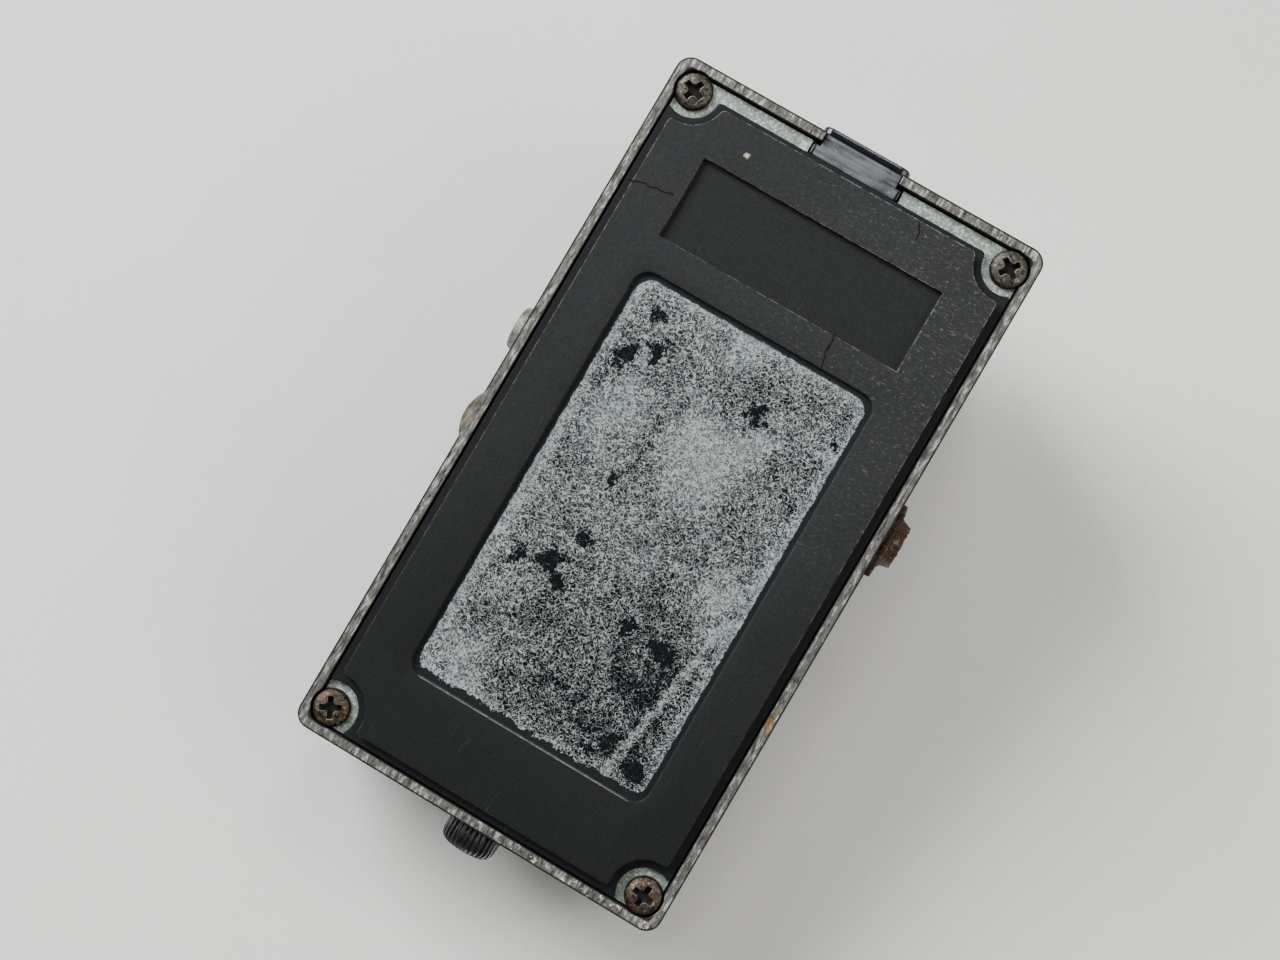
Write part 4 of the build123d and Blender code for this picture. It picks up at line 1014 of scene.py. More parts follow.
@dataclass(frozen=True)
class PrintedMark(Finish):
    """Slightly worn pale printing ink."""

    ink: Colour = (0.62, 0.62, 0.59)

    def paint(self) -> bpy.types.Material:
        """Builds the material.

        Returns:
            The finished material.
        """
        p = Paint("printed_mark", rounding=0.05)
        wear = p.noise(2.5, 4.0, 0.7)
        tint = p.layers(self.ink, ((0.30, 0.30, 0.28), wear.step(0.5, 0.72) * 0.7))
        return p.finish(tint, 0.5 + wear * 0.2, p.relief(wear, 0.01))


# ------------------------------------------------------------------------------- mesh helpers
def dress(nodes: Sequence[str], finish: Finish) -> None:
    """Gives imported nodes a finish.

    Args:
        nodes: Names of the nodes.
        finish: What their surface is.
    """
    for name in nodes:
        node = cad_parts[name]
        node.data.materials.clear()
        node.data.materials.append(material_of(finish))
        LOG.info("dressed %s as %s", name, type(finish).__name__)


def placed(name: str, shape: bmesh.types.BMesh) -> bpy.types.Object:
    """Turns a mesh in millimetres into an object in the scene.

    Args:
        name: The object's name.
        shape: Its mesh in the part's own frame, which is freed.

    Returns:
        The new object, at the origin.
    """
    bmesh.ops.scale(shape, verts=shape.verts, vec=Vector((MM, MM, MM)))
    mesh = bpy.data.meshes.new(name)
    shape.to_mesh(mesh)
    shape.free()
    made = bpy.data.objects.new(name, mesh)
    bpy.context.scene.collection.objects.link(made)
    return made


def publish(name: str, shape: bmesh.types.BMesh, body: Body, finish: Finish,
            stands_for: Sequence[str] = (), crease: float = CREASE,
            outward: bool = True) -> bpy.types.Object:
    """Turns a mesh into a finished piece that rides on a body.

    Args:
        name: The piece's name.
        shape: The mesh, in millimetres in the part's own frame. It is freed.
        body: The body that the piece moves with.
        finish: The piece's surface.
        stands_for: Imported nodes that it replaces.
        crease: Edges sharper than this angle, in degrees, stay hard.
        outward: Whether the normals are worked out again.

    Returns:
        The new object.
    """
    bmesh.ops.remove_doubles(shape, verts=shape.verts, dist=1e-4)
    if outward:
        bmesh.ops.recalc_face_normals(shape, faces=shape.faces)
    made = placed(name, shape)
    mesh = made.data
    mesh.shade_smooth()
    mesh.set_sharp_from_angle(angle=math.radians(crease))
    mesh.materials.append(material_of(finish))
    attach(made, body.value)
    if stands_for:
        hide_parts(*stands_for)
    LOG.info("built %s: %d faces on %s", name, len(mesh.polygons), body.value)
    return made


def bevel(shape: bmesh.types.BMesh, geometry: Iterable[Any], size: float, segments: int,
          what: Rounded = Rounded.EDGES) -> None:
    """Rounds edges, or the corners of a flat outline, to a radius in millimetres."""
    bmesh.ops.bevel(shape, geom=list(geometry), offset=size, offset_type="OFFSET", segments=segments,
                    profile=0.5, affect=what.value, material=-1, clamp_overlap=True)


def block(shape: bmesh.types.BMesh, low: Point, high: Point) -> list[bmesh.types.BMVert]:
    """Adds a box between two corners.

    Args:
        shape: The mesh it is added to.
        low: Lowest corner.
        high: Highest corner.

    Returns:
        The box's vertices.
    """
    middle = Vector([(a + b) / 2 for a, b in zip(low, high)])
    size = Vector([b - a for a, b in zip(low, high)])
    place = Matrix.Translation(middle) @ Matrix.Diagonal(size).to_4x4()
    return bmesh.ops.create_cube(shape, size=1.0, matrix=place)["verts"]


def spun(shape: bmesh.types.BMesh, outline: Sequence[Point], centre: Point, axis: Point, steps: int,
         closed: bool = False) -> None:
    """Adds a turned solid.

    Args:
        shape: The mesh it is added to.
        outline: The corners of half its section.
        centre: A point on its axis.
        axis: The axis's direction.
        steps: Number of steps in the turn.
        closed: Whether the section's last corner is joined to its first.
    """
    verts = [shape.verts.new(corner) for corner in outline]
    ends = verts[1:] + verts[:1] if closed else verts[1:]
    edges = [shape.edges.new(pair) for pair in zip(verts, ends)]
    bmesh.ops.spin(shape, geom=verts + edges, cent=Vector(centre), axis=Vector(axis), angle=math.tau,
                   steps=steps, use_merge=True)


def carve(piece: bpy.types.Object, shape: bmesh.types.BMesh) -> None:
    """Cuts a shape, in millimetres, out of a finished piece.

    Args:
        piece: The piece.
        shape: What is cut away. It is freed.
    """
    bmesh.ops.recalc_face_normals(shape, faces=shape.faces)
    cutter = placed("cutter", shape)
    cut = piece.modifiers.new("cut", "BOOLEAN")
    cut.operation, cut.object, cut.solver, cut.use_self = "DIFFERENCE", cutter, "EXACT", True
    bpy.context.view_layer.update()
    result = bpy.data.meshes.new_from_object(piece.evaluated_get(bpy.context.evaluated_depsgraph_get()))
    piece.modifiers.clear()
    piece.data = result
    result.set_sharp_from_angle(angle=math.radians(CREASE))
    mesh = cutter.data
    bpy.data.objects.remove(cutter)
    bpy.data.meshes.remove(mesh)


# ------------------------------------------------------------------------------- sub-assemblies
@dataclass
class RubberBase:
    """The rubber base with its recesses, the remains of the label in it, and the plate behind."""

    half_width: float = 31.0
    front: float = -59.3
    rear: float = 57.0
    thickness: float = 2.4
    skirt: float = 0.9
    skirt_width: float = 1.4
    screw_x: float = 28.6
    screw_y: float = 56.6
    screw_clearance: float = 4.4
    corner_radius: float = 0.9
    corner_steps: int = 5
    hollow_steps: int = 14
    recess_steps: int = 8
    edge_radius: float = 0.55
    skirt_radius: float = 0.25
    window: Pair = (-45.0, 28.2)
    window_depth: float = 0.8
    window_radius: float = 2.8
    plaque: Pair = (33.7, 47.9)
    plaque_depth: float = 0.9
    recess_half_width: float = 21.5
    lip_radius: float = 0.22
    film_height: float = 0.70
    film_inset: float = 0.6
    film_ripple: float = 0.012

    def outline(self, shape: bmesh.types.BMesh, inset: float, height: float) -> bmesh.types.BMFace:
        """Adds the base's outline as one face, with a hollow round each screw.

        Args:
            shape: The mesh.
            inset: How far the outline lies inside the base's edge.
            height: Its Z.

        Returns:
            The face.
        """
        half, front, rear = self.half_width - inset, self.front + inset, self.rear - inset * 0.7
        reach = self.screw_clearance + inset
        hollows: list[tuple[bmesh.types.BMVert, bmesh.types.BMVert]] = []
        for sx, sy in ((1, 1), (-1, 1), (-1, -1), (1, -1)):
            centre = Vector((sx * self.screw_x, sy * self.screw_y, height))
            end = rear if sy > 0 else front
            side_run = math.sqrt(reach ** 2 - (half - self.screw_x) ** 2)
            end_run = math.sqrt(reach ** 2 - (abs(end) - self.screw_y) ** 2)
            on_side = Vector((sx * half, centre.y - sy * side_run, height))
            on_end = Vector((centre.x - sx * end_run, end, height))
            first, last = (on_side, on_end) if sx * sy > 0 else (on_end, on_side)
            turn = (first - centre).to_2d().angle_signed((last - centre).to_2d())
            seed = shape.verts.new(first)
            made = bmesh.ops.spin(shape, geom=[seed], cent=centre, axis=Vector((0, 0, 1)),
                                  angle=-turn, steps=self.hollow_steps, use_merge=False)
            tip = next(item for item in made["geom_last"] if isinstance(item, bmesh.types.BMVert))
            hollows.append((seed, tip))
        for (_, tip), (seed, _) in zip(hollows, hollows[1:] + hollows[:1]):
            shape.edges.new((tip, seed))
        bmesh.ops.contextual_create(shape, geom=[edge for edge in shape.edges if edge.is_wire])
        corners = [vert for pair in hollows for vert in pair]
        bevel(shape, corners, self.corner_radius, self.corner_steps, Rounded.CORNERS)
        return next(face for face in shape.faces if abs(face.calc_center_median().z - height) < HAIR)

    def slab(self, inset: float, height: float) -> bmesh.types.BMesh:
        """One thickness of the base, standing on the plate.

        Args:
            inset: How far its edge lies inside the base's.
            height: Z of its lower face.

        Returns:
            The closed slab.
        """
        shape = bmesh.new()
        face = self.outline(shape, inset, height)
        made = bmesh.ops.extrude_face_region(shape, geom=[face], use_keep_orig=True)
        top = [item for item in made["geom"] if isinstance(item, bmesh.types.BMVert)]
        bmesh.ops.translate(shape, verts=top, vec=Vector((0, 0, self.thickness - height)))
        bmesh.ops.recalc_face_normals(shape, faces=shape.faces)
        return shape

    def recess(self, shape: bmesh.types.BMesh, span: Pair, depth: float, corner: float) -> None:
        """Presses a recess into the pad's lower face.

        Args:
            shape: The pad.
            span: Front and rear edges of the recess.
            depth: Its depth.
            corner: Radius of its corners, or 0.
        """
        half = self.recess_half_width
        sides = (((half, 0, 0), (1, 0, 0)), ((-half, 0, 0), (1, 0, 0)),
                 ((0, span[0], 0), (0, 1, 0)), ((0, span[1], 0), (0, 1, 0)))
        for position, normal in sides:
            bmesh.ops.bisect_plane(shape, geom=shape.verts[:] + shape.edges[:] + shape.faces[:],
                                   plane_co=position, plane_no=normal, dist=1e-5)

        def within(face: bmesh.types.BMFace) -> bool:
            """Whether the face is a part of the lower face that the recess takes up."""
            x, y, z = face.calc_center_median()
            return face.normal.z < -0.9 and z < HAIR and abs(x) < half and span[0] < y < span[1]

        inside = [face for face in shape.faces if within(face)]
        if len(inside) > 1:
            inside = bmesh.ops.dissolve_faces(shape, faces=inside, use_verts=True)["region"]
        made = bmesh.ops.extrude_face_region(shape, geom=inside)
        floor = [item for item in made["geom"] if isinstance(item, bmesh.types.BMVert)]
        bmesh.ops.delete(shape, geom=inside, context="FACES_ONLY")
        bmesh.ops.translate(shape, verts=floor, vec=Vector((0, 0, depth)))
        if corner:
            corners = [edge for edge in shape.edges if any(vert in floor for vert in edge.verts)
                       and abs(abs(edge.verts[0].co.z - edge.verts[1].co.z) - depth) < HAIR
                       and abs(abs(edge.verts[0].co.x) - half) < HAIR]
            bevel(shape, corners, corner, self.recess_steps)

    def pad(self) -> bmesh.types.BMesh:
        """Builds the thick pad, with its recesses and rounded edges.

        Returns:
            The pad.
        """
        shape = self.slab(self.skirt_width, 0.0)
        self.recess(shape, self.window, self.window_depth, self.window_radius)
        self.recess(shape, self.plaque, self.plaque_depth, 0.0)
        shape.normal_update()

        def rim(edge: bmesh.types.BMEdge) -> bool:
            """Whether the edge lies between the lower face and a wall."""
            ends = sorted(round(face.normal.z) for face in edge.link_faces)
            return ends == [-1, 0] and max(vert.co.z for vert in edge.verts) < HAIR

        def recessed(edge: bmesh.types.BMEdge) -> bool:
            """Whether the edge belongs to a recess.

            Args:
                edge: An edge of the pad.

            Returns:
                True if it does.
            """
            x, y, _ = (edge.verts[0].co + edge.verts[1].co) / 2
            along = self.window[0] - HAIR < y < self.plaque[1] + HAIR
            return along and abs(x) < self.recess_half_width + HAIR

        edges = [edge for edge in shape.edges if rim(edge)]
        bevel(shape, [edge for edge in edges if not recessed(edge)], self.edge_radius, 4)
        edges = [edge for edge in shape.edges if edge.is_valid and rim(edge) and recessed(edge)]
        bevel(shape, edges, self.lip_radius, 3)
        return shape

    def film(self) -> bmesh.types.BMesh:
        """Builds what is left of the label: a thin, slightly rippled sheet in the window.

        Returns:
            The sheet, facing down.
        """
        shape = bmesh.new()
        half = self.recess_half_width - self.film_inset
        low, high = self.window[0] + self.film_inset, self.window[1] - self.film_inset
        place = Matrix.Translation((0, (low + high) / 2, self.film_height))
        place = place @ Matrix.Diagonal((half, (high - low) / 2, 1)).to_4x4()
        bmesh.ops.create_grid(shape, x_segments=42, y_segments=72, size=1.0, matrix=place)
        for vert in shape.verts:
            x, y, _ = vert.co
            ripple = math.sin(x * 0.9) * math.sin(y * 0.7 + 1.0) + math.sin(x * 2.1 + y * 1.3)
            vert.co.z += self.film_ripple * ripple
        bmesh.ops.reverse_faces(shape, faces=[face for face in shape.faces if face.normal.z > 0])
        return shape

    def build(self) -> None:
        """Builds and dresses the base."""
        shape = self.pad()
        under = self.thickness - self.skirt
        skirt = self.slab(0.0, under)
        lower = [edge for edge in skirt.edges if max(vert.co.z for vert in edge.verts) < under + HAIR]
        bevel(skirt, lower, self.skirt_radius, 2)
        scratch = bpy.data.meshes.new("skirt_scratch")
        skirt.to_mesh(scratch)
        skirt.free()
        shape.from_mesh(scratch)
        bpy.data.meshes.remove(scratch)
        publish("base_pad", shape, Body.HOUSING, ScuffedRubber(), ["base_rubber"], crease=40.0)
        publish("label_film", self.film(), Body.HOUSING, LabelFilm(), ["label_residue"],
                outward=False)
        dress(["bottom_plate"], ZincPlate())


@dataclass
class PanScrews:
    """The four cross-headed screws that hold the plate."""

    places: tuple[Pair, ...] = ((-28.6, -56.6), (28.6, -56.6), (-28.6, 56.6), (28.6, 56.6))
    turns: tuple[float, ...] = (8.0, 63.0, 38.0, 22.0)
    head_radius: float = 3.1
    seat: float = 2.4
    head_height: float = 1.5
    brim: float = 0.25
    shank_radius: float = 1.5
    shank_length: float = 8.2
    slot_length: float = 4.7
    slot_width: float = 1.25
    slot_depth: float = 1.15
    slot_taper: Pair = (0.62, 0.66)
    centre_radius: float = 1.75
    centre_tip: float = 0.5
    centre_depth: float = 0.9
    clearance: float = 1.0
    edge_break: float = 0.1
    dome_steps: int = 8
    turn_steps: int = 48

    def head(self, shape: bmesh.types.BMesh, x: float, y: float) -> None:
        """Adds a domed head and its shank.

        Args:
            shape: The mesh they are added to.
            x: X of the screw's axis.
            y: Y of the screw's axis.
        """
        tip, brim = self.seat + self.shank_length, self.seat - self.brim
        outline = [(0.0, tip), (self.shank_radius, tip), (self.shank_radius, self.seat),
                   (self.head_radius - self.edge_break, self.seat),
                   (self.head_radius, self.seat - 1.5 * self.edge_break)]
        for i in range(1, self.dome_steps + 1):
            turn = i / self.dome_steps * math.pi / 2
            rise = (self.head_height - self.brim) * math.sin(turn) ** 0.9
            outline.append((self.head_radius * math.cos(turn) ** 0.72, brim - rise))
        section = [(x + radius, y, z) for radius, z in outline]
        spun(shape, section, (x, y, 0), (0, 0, 1), self.turn_steps)

    def cross(self, shape: bmesh.types.BMesh, x: float, y: float, turn: float) -> None:
        """Adds the solid that the driver's cross is cut with.

        Args:
            shape: The mesh it is added to.
            x: X of the screw's axis.
            y: Y of the screw's axis.
            turn: How far the cross is turned, in degrees.
        """
        top = self.seat - self.head_height
        for angle in (turn, turn + 90.0):
            verts = block(shape, (-self.slot_length / 2, -self.slot_width / 2, top - self.clearance),
                          (self.slot_length / 2, self.slot_width / 2, top + self.slot_depth))
            deep = [vert for vert in verts if vert.co.z > top]
            bmesh.ops.scale(shape, verts=deep, vec=Vector((*self.slot_taper, 1.0)))
            spin = Matrix.Translation((x, y, 0)) @ Matrix.Rotation(math.radians(angle), 4, "Z")
            bmesh.ops.transform(shape, matrix=spin, verts=verts)
        low, high = top - 1.1 * self.clearance, top + self.centre_depth
        bmesh.ops.create_cone(shape, cap_ends=True, segments=24, radius1=self.centre_radius,
                              radius2=self.centre_tip, depth=high - low,
                              matrix=Matrix.Translation((x, y, (low + high) / 2)))

    def build(self) -> None:
        """Builds the screws and cuts their crosses."""
        heads, crosses = bmesh.new(), bmesh.new()
        for (x, y), turn in zip(self.places, self.turns):
            self.head(heads, x, y)
            self.cross(crosses, x, y, turn)
        screws = publish("bottom_screw_set", heads, Body.HOUSING, BronzedScrew(),
                         ["bottom_screws"])
        carve(screws, crosses)


@dataclass
class Casting:
    """The two castings, which are the housing and the treadle, and the bushes between them."""

    def build(self) -> None:
        """Dresses the castings and the hinge bushes."""
        dress(["body_casting"], CastHousing())
        dress(["treadle"], CastHousing(hollow=0.0))
        dress(["hinge_bushes"], Nylon())


@dataclass
class Treadle:
    """What the treadle carries and meets: rubber pieces, nylon bush and washer, pins and spring."""

    def build(self) -> None:
        """Dresses the pieces."""
        dress(["treadle_rubber"], TreadRubber())
        dress(["switch_foot", "lead_grommet"], MouldedPlastic(gloss=0.0, dust=0.4))
        dress(["guide_bush", "thumbscrew_washer"], Nylon())
        dress(["hinge_pins", "treadle_spring"], PlatedSteel())


@dataclass
class Sockets:
    """Signal jacks in the side walls, with threaded bushings, and the supply socket at the rear."""

    y: float = 11.0
    z: float = 17.5
    bore: float = 3.25
    radius: float = 4.5
    start: float = 27.6
    wall: float = 33.0
    stand_out: float = 3.5
    pitch: float = 0.75
    thread_depth: float = 0.32
    thread_overlap: float = 0.2
    crest: Pair = (0.4, 0.6)
    nose: float = 0.75
    nose_wall: float = 0.45
    mouth: float = 0.25
    lip: float = 0.15
    washer: float = 0.6
    nut_across: float = 12.0
    nut_height: float = 0.9
    nut_turn: float = 12.0
    nut_corner_radius: float = 0.28
    nut_clearance: float = 0.05
    turn_steps: int = 56
    wear: float = 0.22

    def bushing(self, side: int) -> bmesh.types.BMesh:
        """Builds a threaded bushing with a tapered nose, bored through.

        Args:
            side: -1 or 1, the side of the housing that it is on.

        Returns:
            The bushing.
        """
        end = self.wall + self.stand_out
        outline = [(self.start, self.bore), (self.start, self.radius), (self.wall, self.radius)]
        root = self.radius - self.thread_depth
        along = self.wall + self.washer + self.nut_height - self.thread_overlap
        while along + self.pitch < end - self.nose:
            crest = [(along + self.pitch * share, self.radius) for share in self.crest]
            outline += [(along, root), *crest]
            along += self.pitch
        outline += [(along, root), (end - self.lip, self.bore + self.nose_wall),
                    (end, self.bore + self.mouth), (end, self.bore)]
        shape = bmesh.new()
        section = [(side * along, self.y, self.z + radius) for along, radius in outline]
        spun(shape, section, (0, self.y, self.z), (1, 0, 0), self.turn_steps, closed=True)
        return shape

    def nut(self, side: int) -> bmesh.types.BMesh:
        """Builds a hexagonal nut with rounded corners.

        Args:
            side: -1 or 1, the side of the housing that it is on.

        Returns:
            The nut.
        """
        shape = bmesh.new()
        corner = self.nut_across / 2 / math.cos(math.pi / 6)
        middle = self.wall + self.washer + self.nut_height / 2
        place = Matrix.Translation((side * middle, self.y, self.z)) @ Matrix.Rotation(math.pi / 2, 4, "Y")
        place = place @ Matrix.Rotation(math.radians(self.nut_turn), 4, "Z")
        bmesh.ops.create_cone(shape, cap_ends=True, segments=6, radius1=corner, radius2=corner,
                              depth=self.nut_height, matrix=place)
        caps = [face for face in shape.faces if len(face.verts) == 6]
        bmesh.ops.inset_region(shape, faces=caps, thickness=corner - self.radius - self.nut_clearance,
                               use_even_offset=True)
        holes = [face for face in shape.faces if len(face.verts) == 6]
        bmesh.ops.bridge_loops(shape, edges=[edge for face in holes for edge in face.edges])
        bmesh.ops.delete(shape, geom=holes, context="FACES_ONLY")
        outer = [edge for edge in shape.edges if all(
            math.hypot(vert.co.y - self.y, vert.co.z - self.z) > corner - HAIR for vert in edge.verts)]
        bevel(shape, outer, self.nut_corner_radius, 2)
        return shape

    def corrode(self, shape: bmesh.types.BMesh) -> None:
        """Roughens what stands out on the -X side, as rust has eaten it.

        Args:
            shape: A bushing or a nut.
        """
        shape.normal_update()
        for vert in shape.verts:
            if vert.co.x < -self.wall:
                eaten = noise.noise(vert.co * 1.1) + 0.5 * noise.noise(vert.co * 2.7)
                vert.co += vert.normal * self.wear * eaten

    def build(self) -> None:
        """Builds the bushings and nuts and dresses the sockets."""
        finish = RustySteel()
        kinds = ((self.bushing, "threaded_bushing", "jack_bushings"), (self.nut, "jack_nut", "jack_nuts"))
        for make, name, node in kinds:
            for side, label, stands_for in ((-1, "output", ()), (1, "input", (node,))):
                shape = make(side)
                self.corrode(shape)
                publish(f"{label}_{name}", shape, Body.HOUSING, finish, stands_for)
        dress(["jack_washers"], finish)
        dress(["input_jack", "output_jack"], MouldedPlastic(gloss=0.3, dust=0.2))
        dress(["input_jack_contacts", "output_jack_contacts", "supply_pin", "supply_tags"], PlatedSteel())
        dress(["supply_socket"], DustyFlange())


@dataclass
class Thumbscrew:
    """The treadle's thumbscrew: a ribbed knob with a rounded end on a threaded shank."""

    z: float = 15.0
    radius: float = 4.75
    inner: float = -61.3
    outer: float = -67.25
    ribs: int = 30
    groove: float = 0.42
    inner_chamfer: float = 0.3
    round_length: float = 1.7
    round_steps: int = 6
    narrowing: float = 0.42
    shank_radius: float = 2.0
    point_radius: float = 1.5
    shank_end: float = -54.2
    point_end: float = -52.4
    plain_length: float = 1.4
    overlap: float = 0.2
    point_chamfer: Pair = (0.5, 0.4)
    pitch: float = 0.7
    thread_depth: float = 0.25
    turn_steps: int = 32

    def knob(self) -> bmesh.types.BMesh:
        """Builds the knob: one rib's strip, extruded along the axis, narrowed at its end and repeated.

        Returns:
            The knob, closed at both ends.
        """
        shape = bmesh.new()
        sector = math.tau / self.ribs
        profile = ((0.0, self.groove), (0.16, self.groove * 0.92), (0.30, 0.08), (0.42, 0.0), (0.58, 0.0),
                   (0.70, 0.08), (0.84, self.groove * 0.92), (1.0, self.groove))
        verts = []
        for at, drop in profile:
            length = self.radius - drop - self.inner_chamfer
            across, up = math.sin(at * sector), math.cos(at * sector)
            verts.append(shape.verts.new((length * across, self.inner, self.z + length * up)))
        previous = [shape.edges.new(pair) for pair in zip(verts, verts[1:])]
        rings = [(self.inner - self.inner_chamfer, 1.0)]
        straight = self.outer + self.round_length
        for i in range(self.round_steps + 1):
            turn = i / self.round_steps * math.pi / 2
            share = 1.0 - self.narrowing * (1.0 - math.cos(turn))
            rings.append((straight - self.round_length * math.sin(turn), share))
        for y, share in rings:
            made = bmesh.ops.extrude_edge_only(shape, edges=previous)["geom"]
            previous = [item for item in made if isinstance(item, bmesh.types.BMEdge)]
            fresh = {vert for edge in previous for vert in edge.verts}
            for vert in fresh:
                out = Vector((vert.co.x, 0, vert.co.z - self.z))
                at = (math.atan2(out.x, out.z) / sector) % 1.0
                drop = self.groove * (0.5 + 0.5 * math.cos(math.tau * at)) ** 1.6
                out = out.normalized() * (self.radius - drop) * share
                vert.co = Vector((out.x, y, self.z + out.z))
        rib = shape.verts[:] + shape.edges[:] + shape.faces[:]
        bmesh.ops.spin(shape, geom=rib, cent=Vector((0, 0, self.z)), axis=Vector((0, 1, 0)),
                       angle=math.tau, steps=self.ribs, use_duplicate=True)
        bmesh.ops.remove_doubles(shape, verts=shape.verts, dist=1e-3)
        bmesh.ops.holes_fill(shape, edges=shape.edges, sides=0)
        return shape

    def shank(self) -> bmesh.types.BMesh:
        """Builds the shank, with thread ridges up to the plain point.

        Returns:
            The shank.
        """
        y, root = self.inner + self.plain_length, self.inner + self.overlap
        outline = [(0.0, root), (self.shank_radius, root), (self.shank_radius, y)]
        while y + self.pitch < self.shank_end:
            outline += [(self.shank_radius - self.thread_depth, y + self.pitch / 2),
                        (self.shank_radius, y + self.pitch)]
            y += self.pitch
        inwards, back = self.point_chamfer
        outline += [(self.shank_radius, self.shank_end), (self.point_radius, self.shank_end),
                    (self.point_radius, self.point_end - back),
                    (self.point_radius - inwards, self.point_end), (0.0, self.point_end)]
        shape = bmesh.new()
        section = [(0, y, self.z + radius) for radius, y in outline]
        spun(shape, section, (0, 0, self.z), (0, 1, 0), self.turn_steps)
        return shape

    def build(self) -> None:
        """Builds the thumbscrew."""
        finish = MouldedPlastic(gloss=0.8, dust=0.1)
        publish("thumbscrew_knob", self.knob(), Body.THUMBSCREW, finish, ["thumbscrew"],
                crease=60.0)
        publish("thumbscrew_shank", self.shank(), Body.THUMBSCREW, finish)


@dataclass
class ControlKnob:
    """One fluted knob with its pointer line and the scale printed round it."""

    body: Body
    x: float
    y: float = 37.3
    top: float = 59.0
    panel: float = 45.0
    line_width: float = 0.9
    line_inner: float = 1.6
    line_outer: float = 5.9
    line_depth: float = 0.5
    line_sunk: float = 0.03
    line_radius: float = 0.02
    tick_from: float = 8.1
    tick_length: float = 1.1
    tick_width: float = 0.28
    tick_sunk: float = 0.03
    tick_proud: float = 0.02
    long_tick: float = 1.5
    ticks: int = 11
    sweep: float = 300.0

    def pointer(self) -> bmesh.types.BMesh:
        """Builds the line that fills the groove in the knob's top.

        Returns:
            The line.
        """
        shape = bmesh.new()
        low = (self.x - self.line_width / 2, self.y + self.line_inner, self.top - self.line_depth)
        high = (self.x + self.line_width / 2, self.y + self.line_outer, self.top - self.line_sunk)
        block(shape, low, high)
        bevel(shape, shape.edges, self.line_radius, 1)
        return shape

    def scale(self) -> bmesh.types.BMesh:
        """Builds the printed ticks, of which the first, middle and last are longer.

        Returns:
            The ticks.
        """
        shape = bmesh.new()
        half, last = self.tick_width / 2, self.ticks - 1
        for i in range(self.ticks):
            length = self.tick_length * (self.long_tick if i in (0, last // 2, last) else 1.0)
            verts = block(shape, (-half, self.tick_from, self.panel - self.tick_sunk),
                          (half, self.tick_from + length, self.panel + self.tick_proud))
            angle = math.radians((0.5 - i / last) * self.sweep)
            turn = Matrix.Translation((self.x, self.y, 0)) @ Matrix.Rotation(angle, 4, "Z")
            bmesh.ops.transform(shape, matrix=turn, verts=verts)
        return shape

    def build(self, name: str) -> None:
        """Builds the knob's line and scale and dresses the knob.

        Args:
            name: left, centre or right.
        """
        publish(f"{name}_pointer_line", self.pointer(), self.body, PrintedMark())
        publish(f"{name}_dial_marks", self.scale(), Body.HOUSING, PrintedMark())
        dress([f"{name}_knob"], MouldedPlastic(gloss=0.25, dust=0.25))
        dress([f"{name}_shaft", f"{name}_pot"], PlatedSteel())


@dataclass
class Controls:
    """The row of knobs and the lamp."""

    pitch: float = 19.0

    def build(self) -> None:
        """Builds the controls."""
        bodies = {"left": Body.LEFT_KNOB, "centre": Body.CENTRE_KNOB, "right": Body.RIGHT_KNOB}
        for step, (name, body) in zip((-1, 0, 1), bodies.items()):
            ControlKnob(body, step * self.pitch).build(name)
        dress(["pot_washers", "pot_nuts"], PlatedSteel())
        dress(["lamp_bezel"], PolishedBezel())
        dress(["status_lamp"], LampResin())


@dataclass
class Inside:
    """What the housing holds: battery, switch, boards and leads."""

    def build(self) -> None:
        """Dresses the inner pieces."""
        dress(["battery"], BatteryJacket())
        dress(["battery_pad"], Foam())
        dress(["battery_snap", "tact_switch", "switch_plunger", "board_components"],
              MouldedPlastic(gloss=0.2, dust=0.1))
        dress(["battery_leads", "switch_leads", "board_link"], LeadInsulation())
        dress(["switch_board", "main_board", "control_board"], CircuitBoard())
        dress(["switch_board_screws", "board_screws"], PlatedSteel())
        dress(["insulating_sheet"], InsulatingCard())


# ------------------------------------------------------------------------------- studio
@dataclass(frozen=True)
class PaleSheet(Finish):
    """Plain pale backdrop that shows from its front only and fades out with distance.

    Attributes:
        name: The material's name.
        tint: Its colour.
        fade_from: Distance from the object at which it starts to fade, in millimetres.
        fade_to: Distance at which it has gone.
        grazing: Whether it also fades where it is seen nearly edge on.
    """

    name: str
    tint: Colour
    fade_from: float
    fade_to: float
    grazing: bool

    def paint(self) -> bpy.types.Material:
        """Builds the material.

        Returns:
            The finished material.
        """
        p = Paint(self.name, rounding=0.1)
        front = 1.0 - Signal(p, p.node("ShaderNodeNewGeometry").outputs["Backfacing"])
        away = p.maths("SQRT", p.x * p.x + p.y * p.y + p.z * p.z)
        shown = front * away.step(self.fade_to, self.fade_from)
        if self.grazing:
            facing = p.node("ShaderNodeLayerWeight", {}, {"Blend": 0.5}).outputs["Facing"]
            shown = shown * Signal(p, facing).step(0.62, 0.45)
        weave = p.noise(1.2, 3.0, 0.6, stretch=(1.0, 0.25, 1.0))
        cloud = p.noise(0.012, 3.0, 0.6)
        tint = p.layers(
            self.tint,
            (tuple(0.93 * c for c in self.tint), cloud.step(0.35, 0.7)),
            (tuple(0.97 * c for c in self.tint), weave.step(0.4, 0.7)))
        cloth = p.node("ShaderNodeBsdfDiffuse", {}, {0: tint})
        clear = p.node("ShaderNodeBsdfTransparent")
        mixed = p.node("ShaderNodeMixShader", {}, {0: shown, 1: clear.outputs[0], 2: cloth.outputs[0]})
        p.node("ShaderNodeOutputMaterial", {}, {0: mixed.outputs[0]})
        return p.material


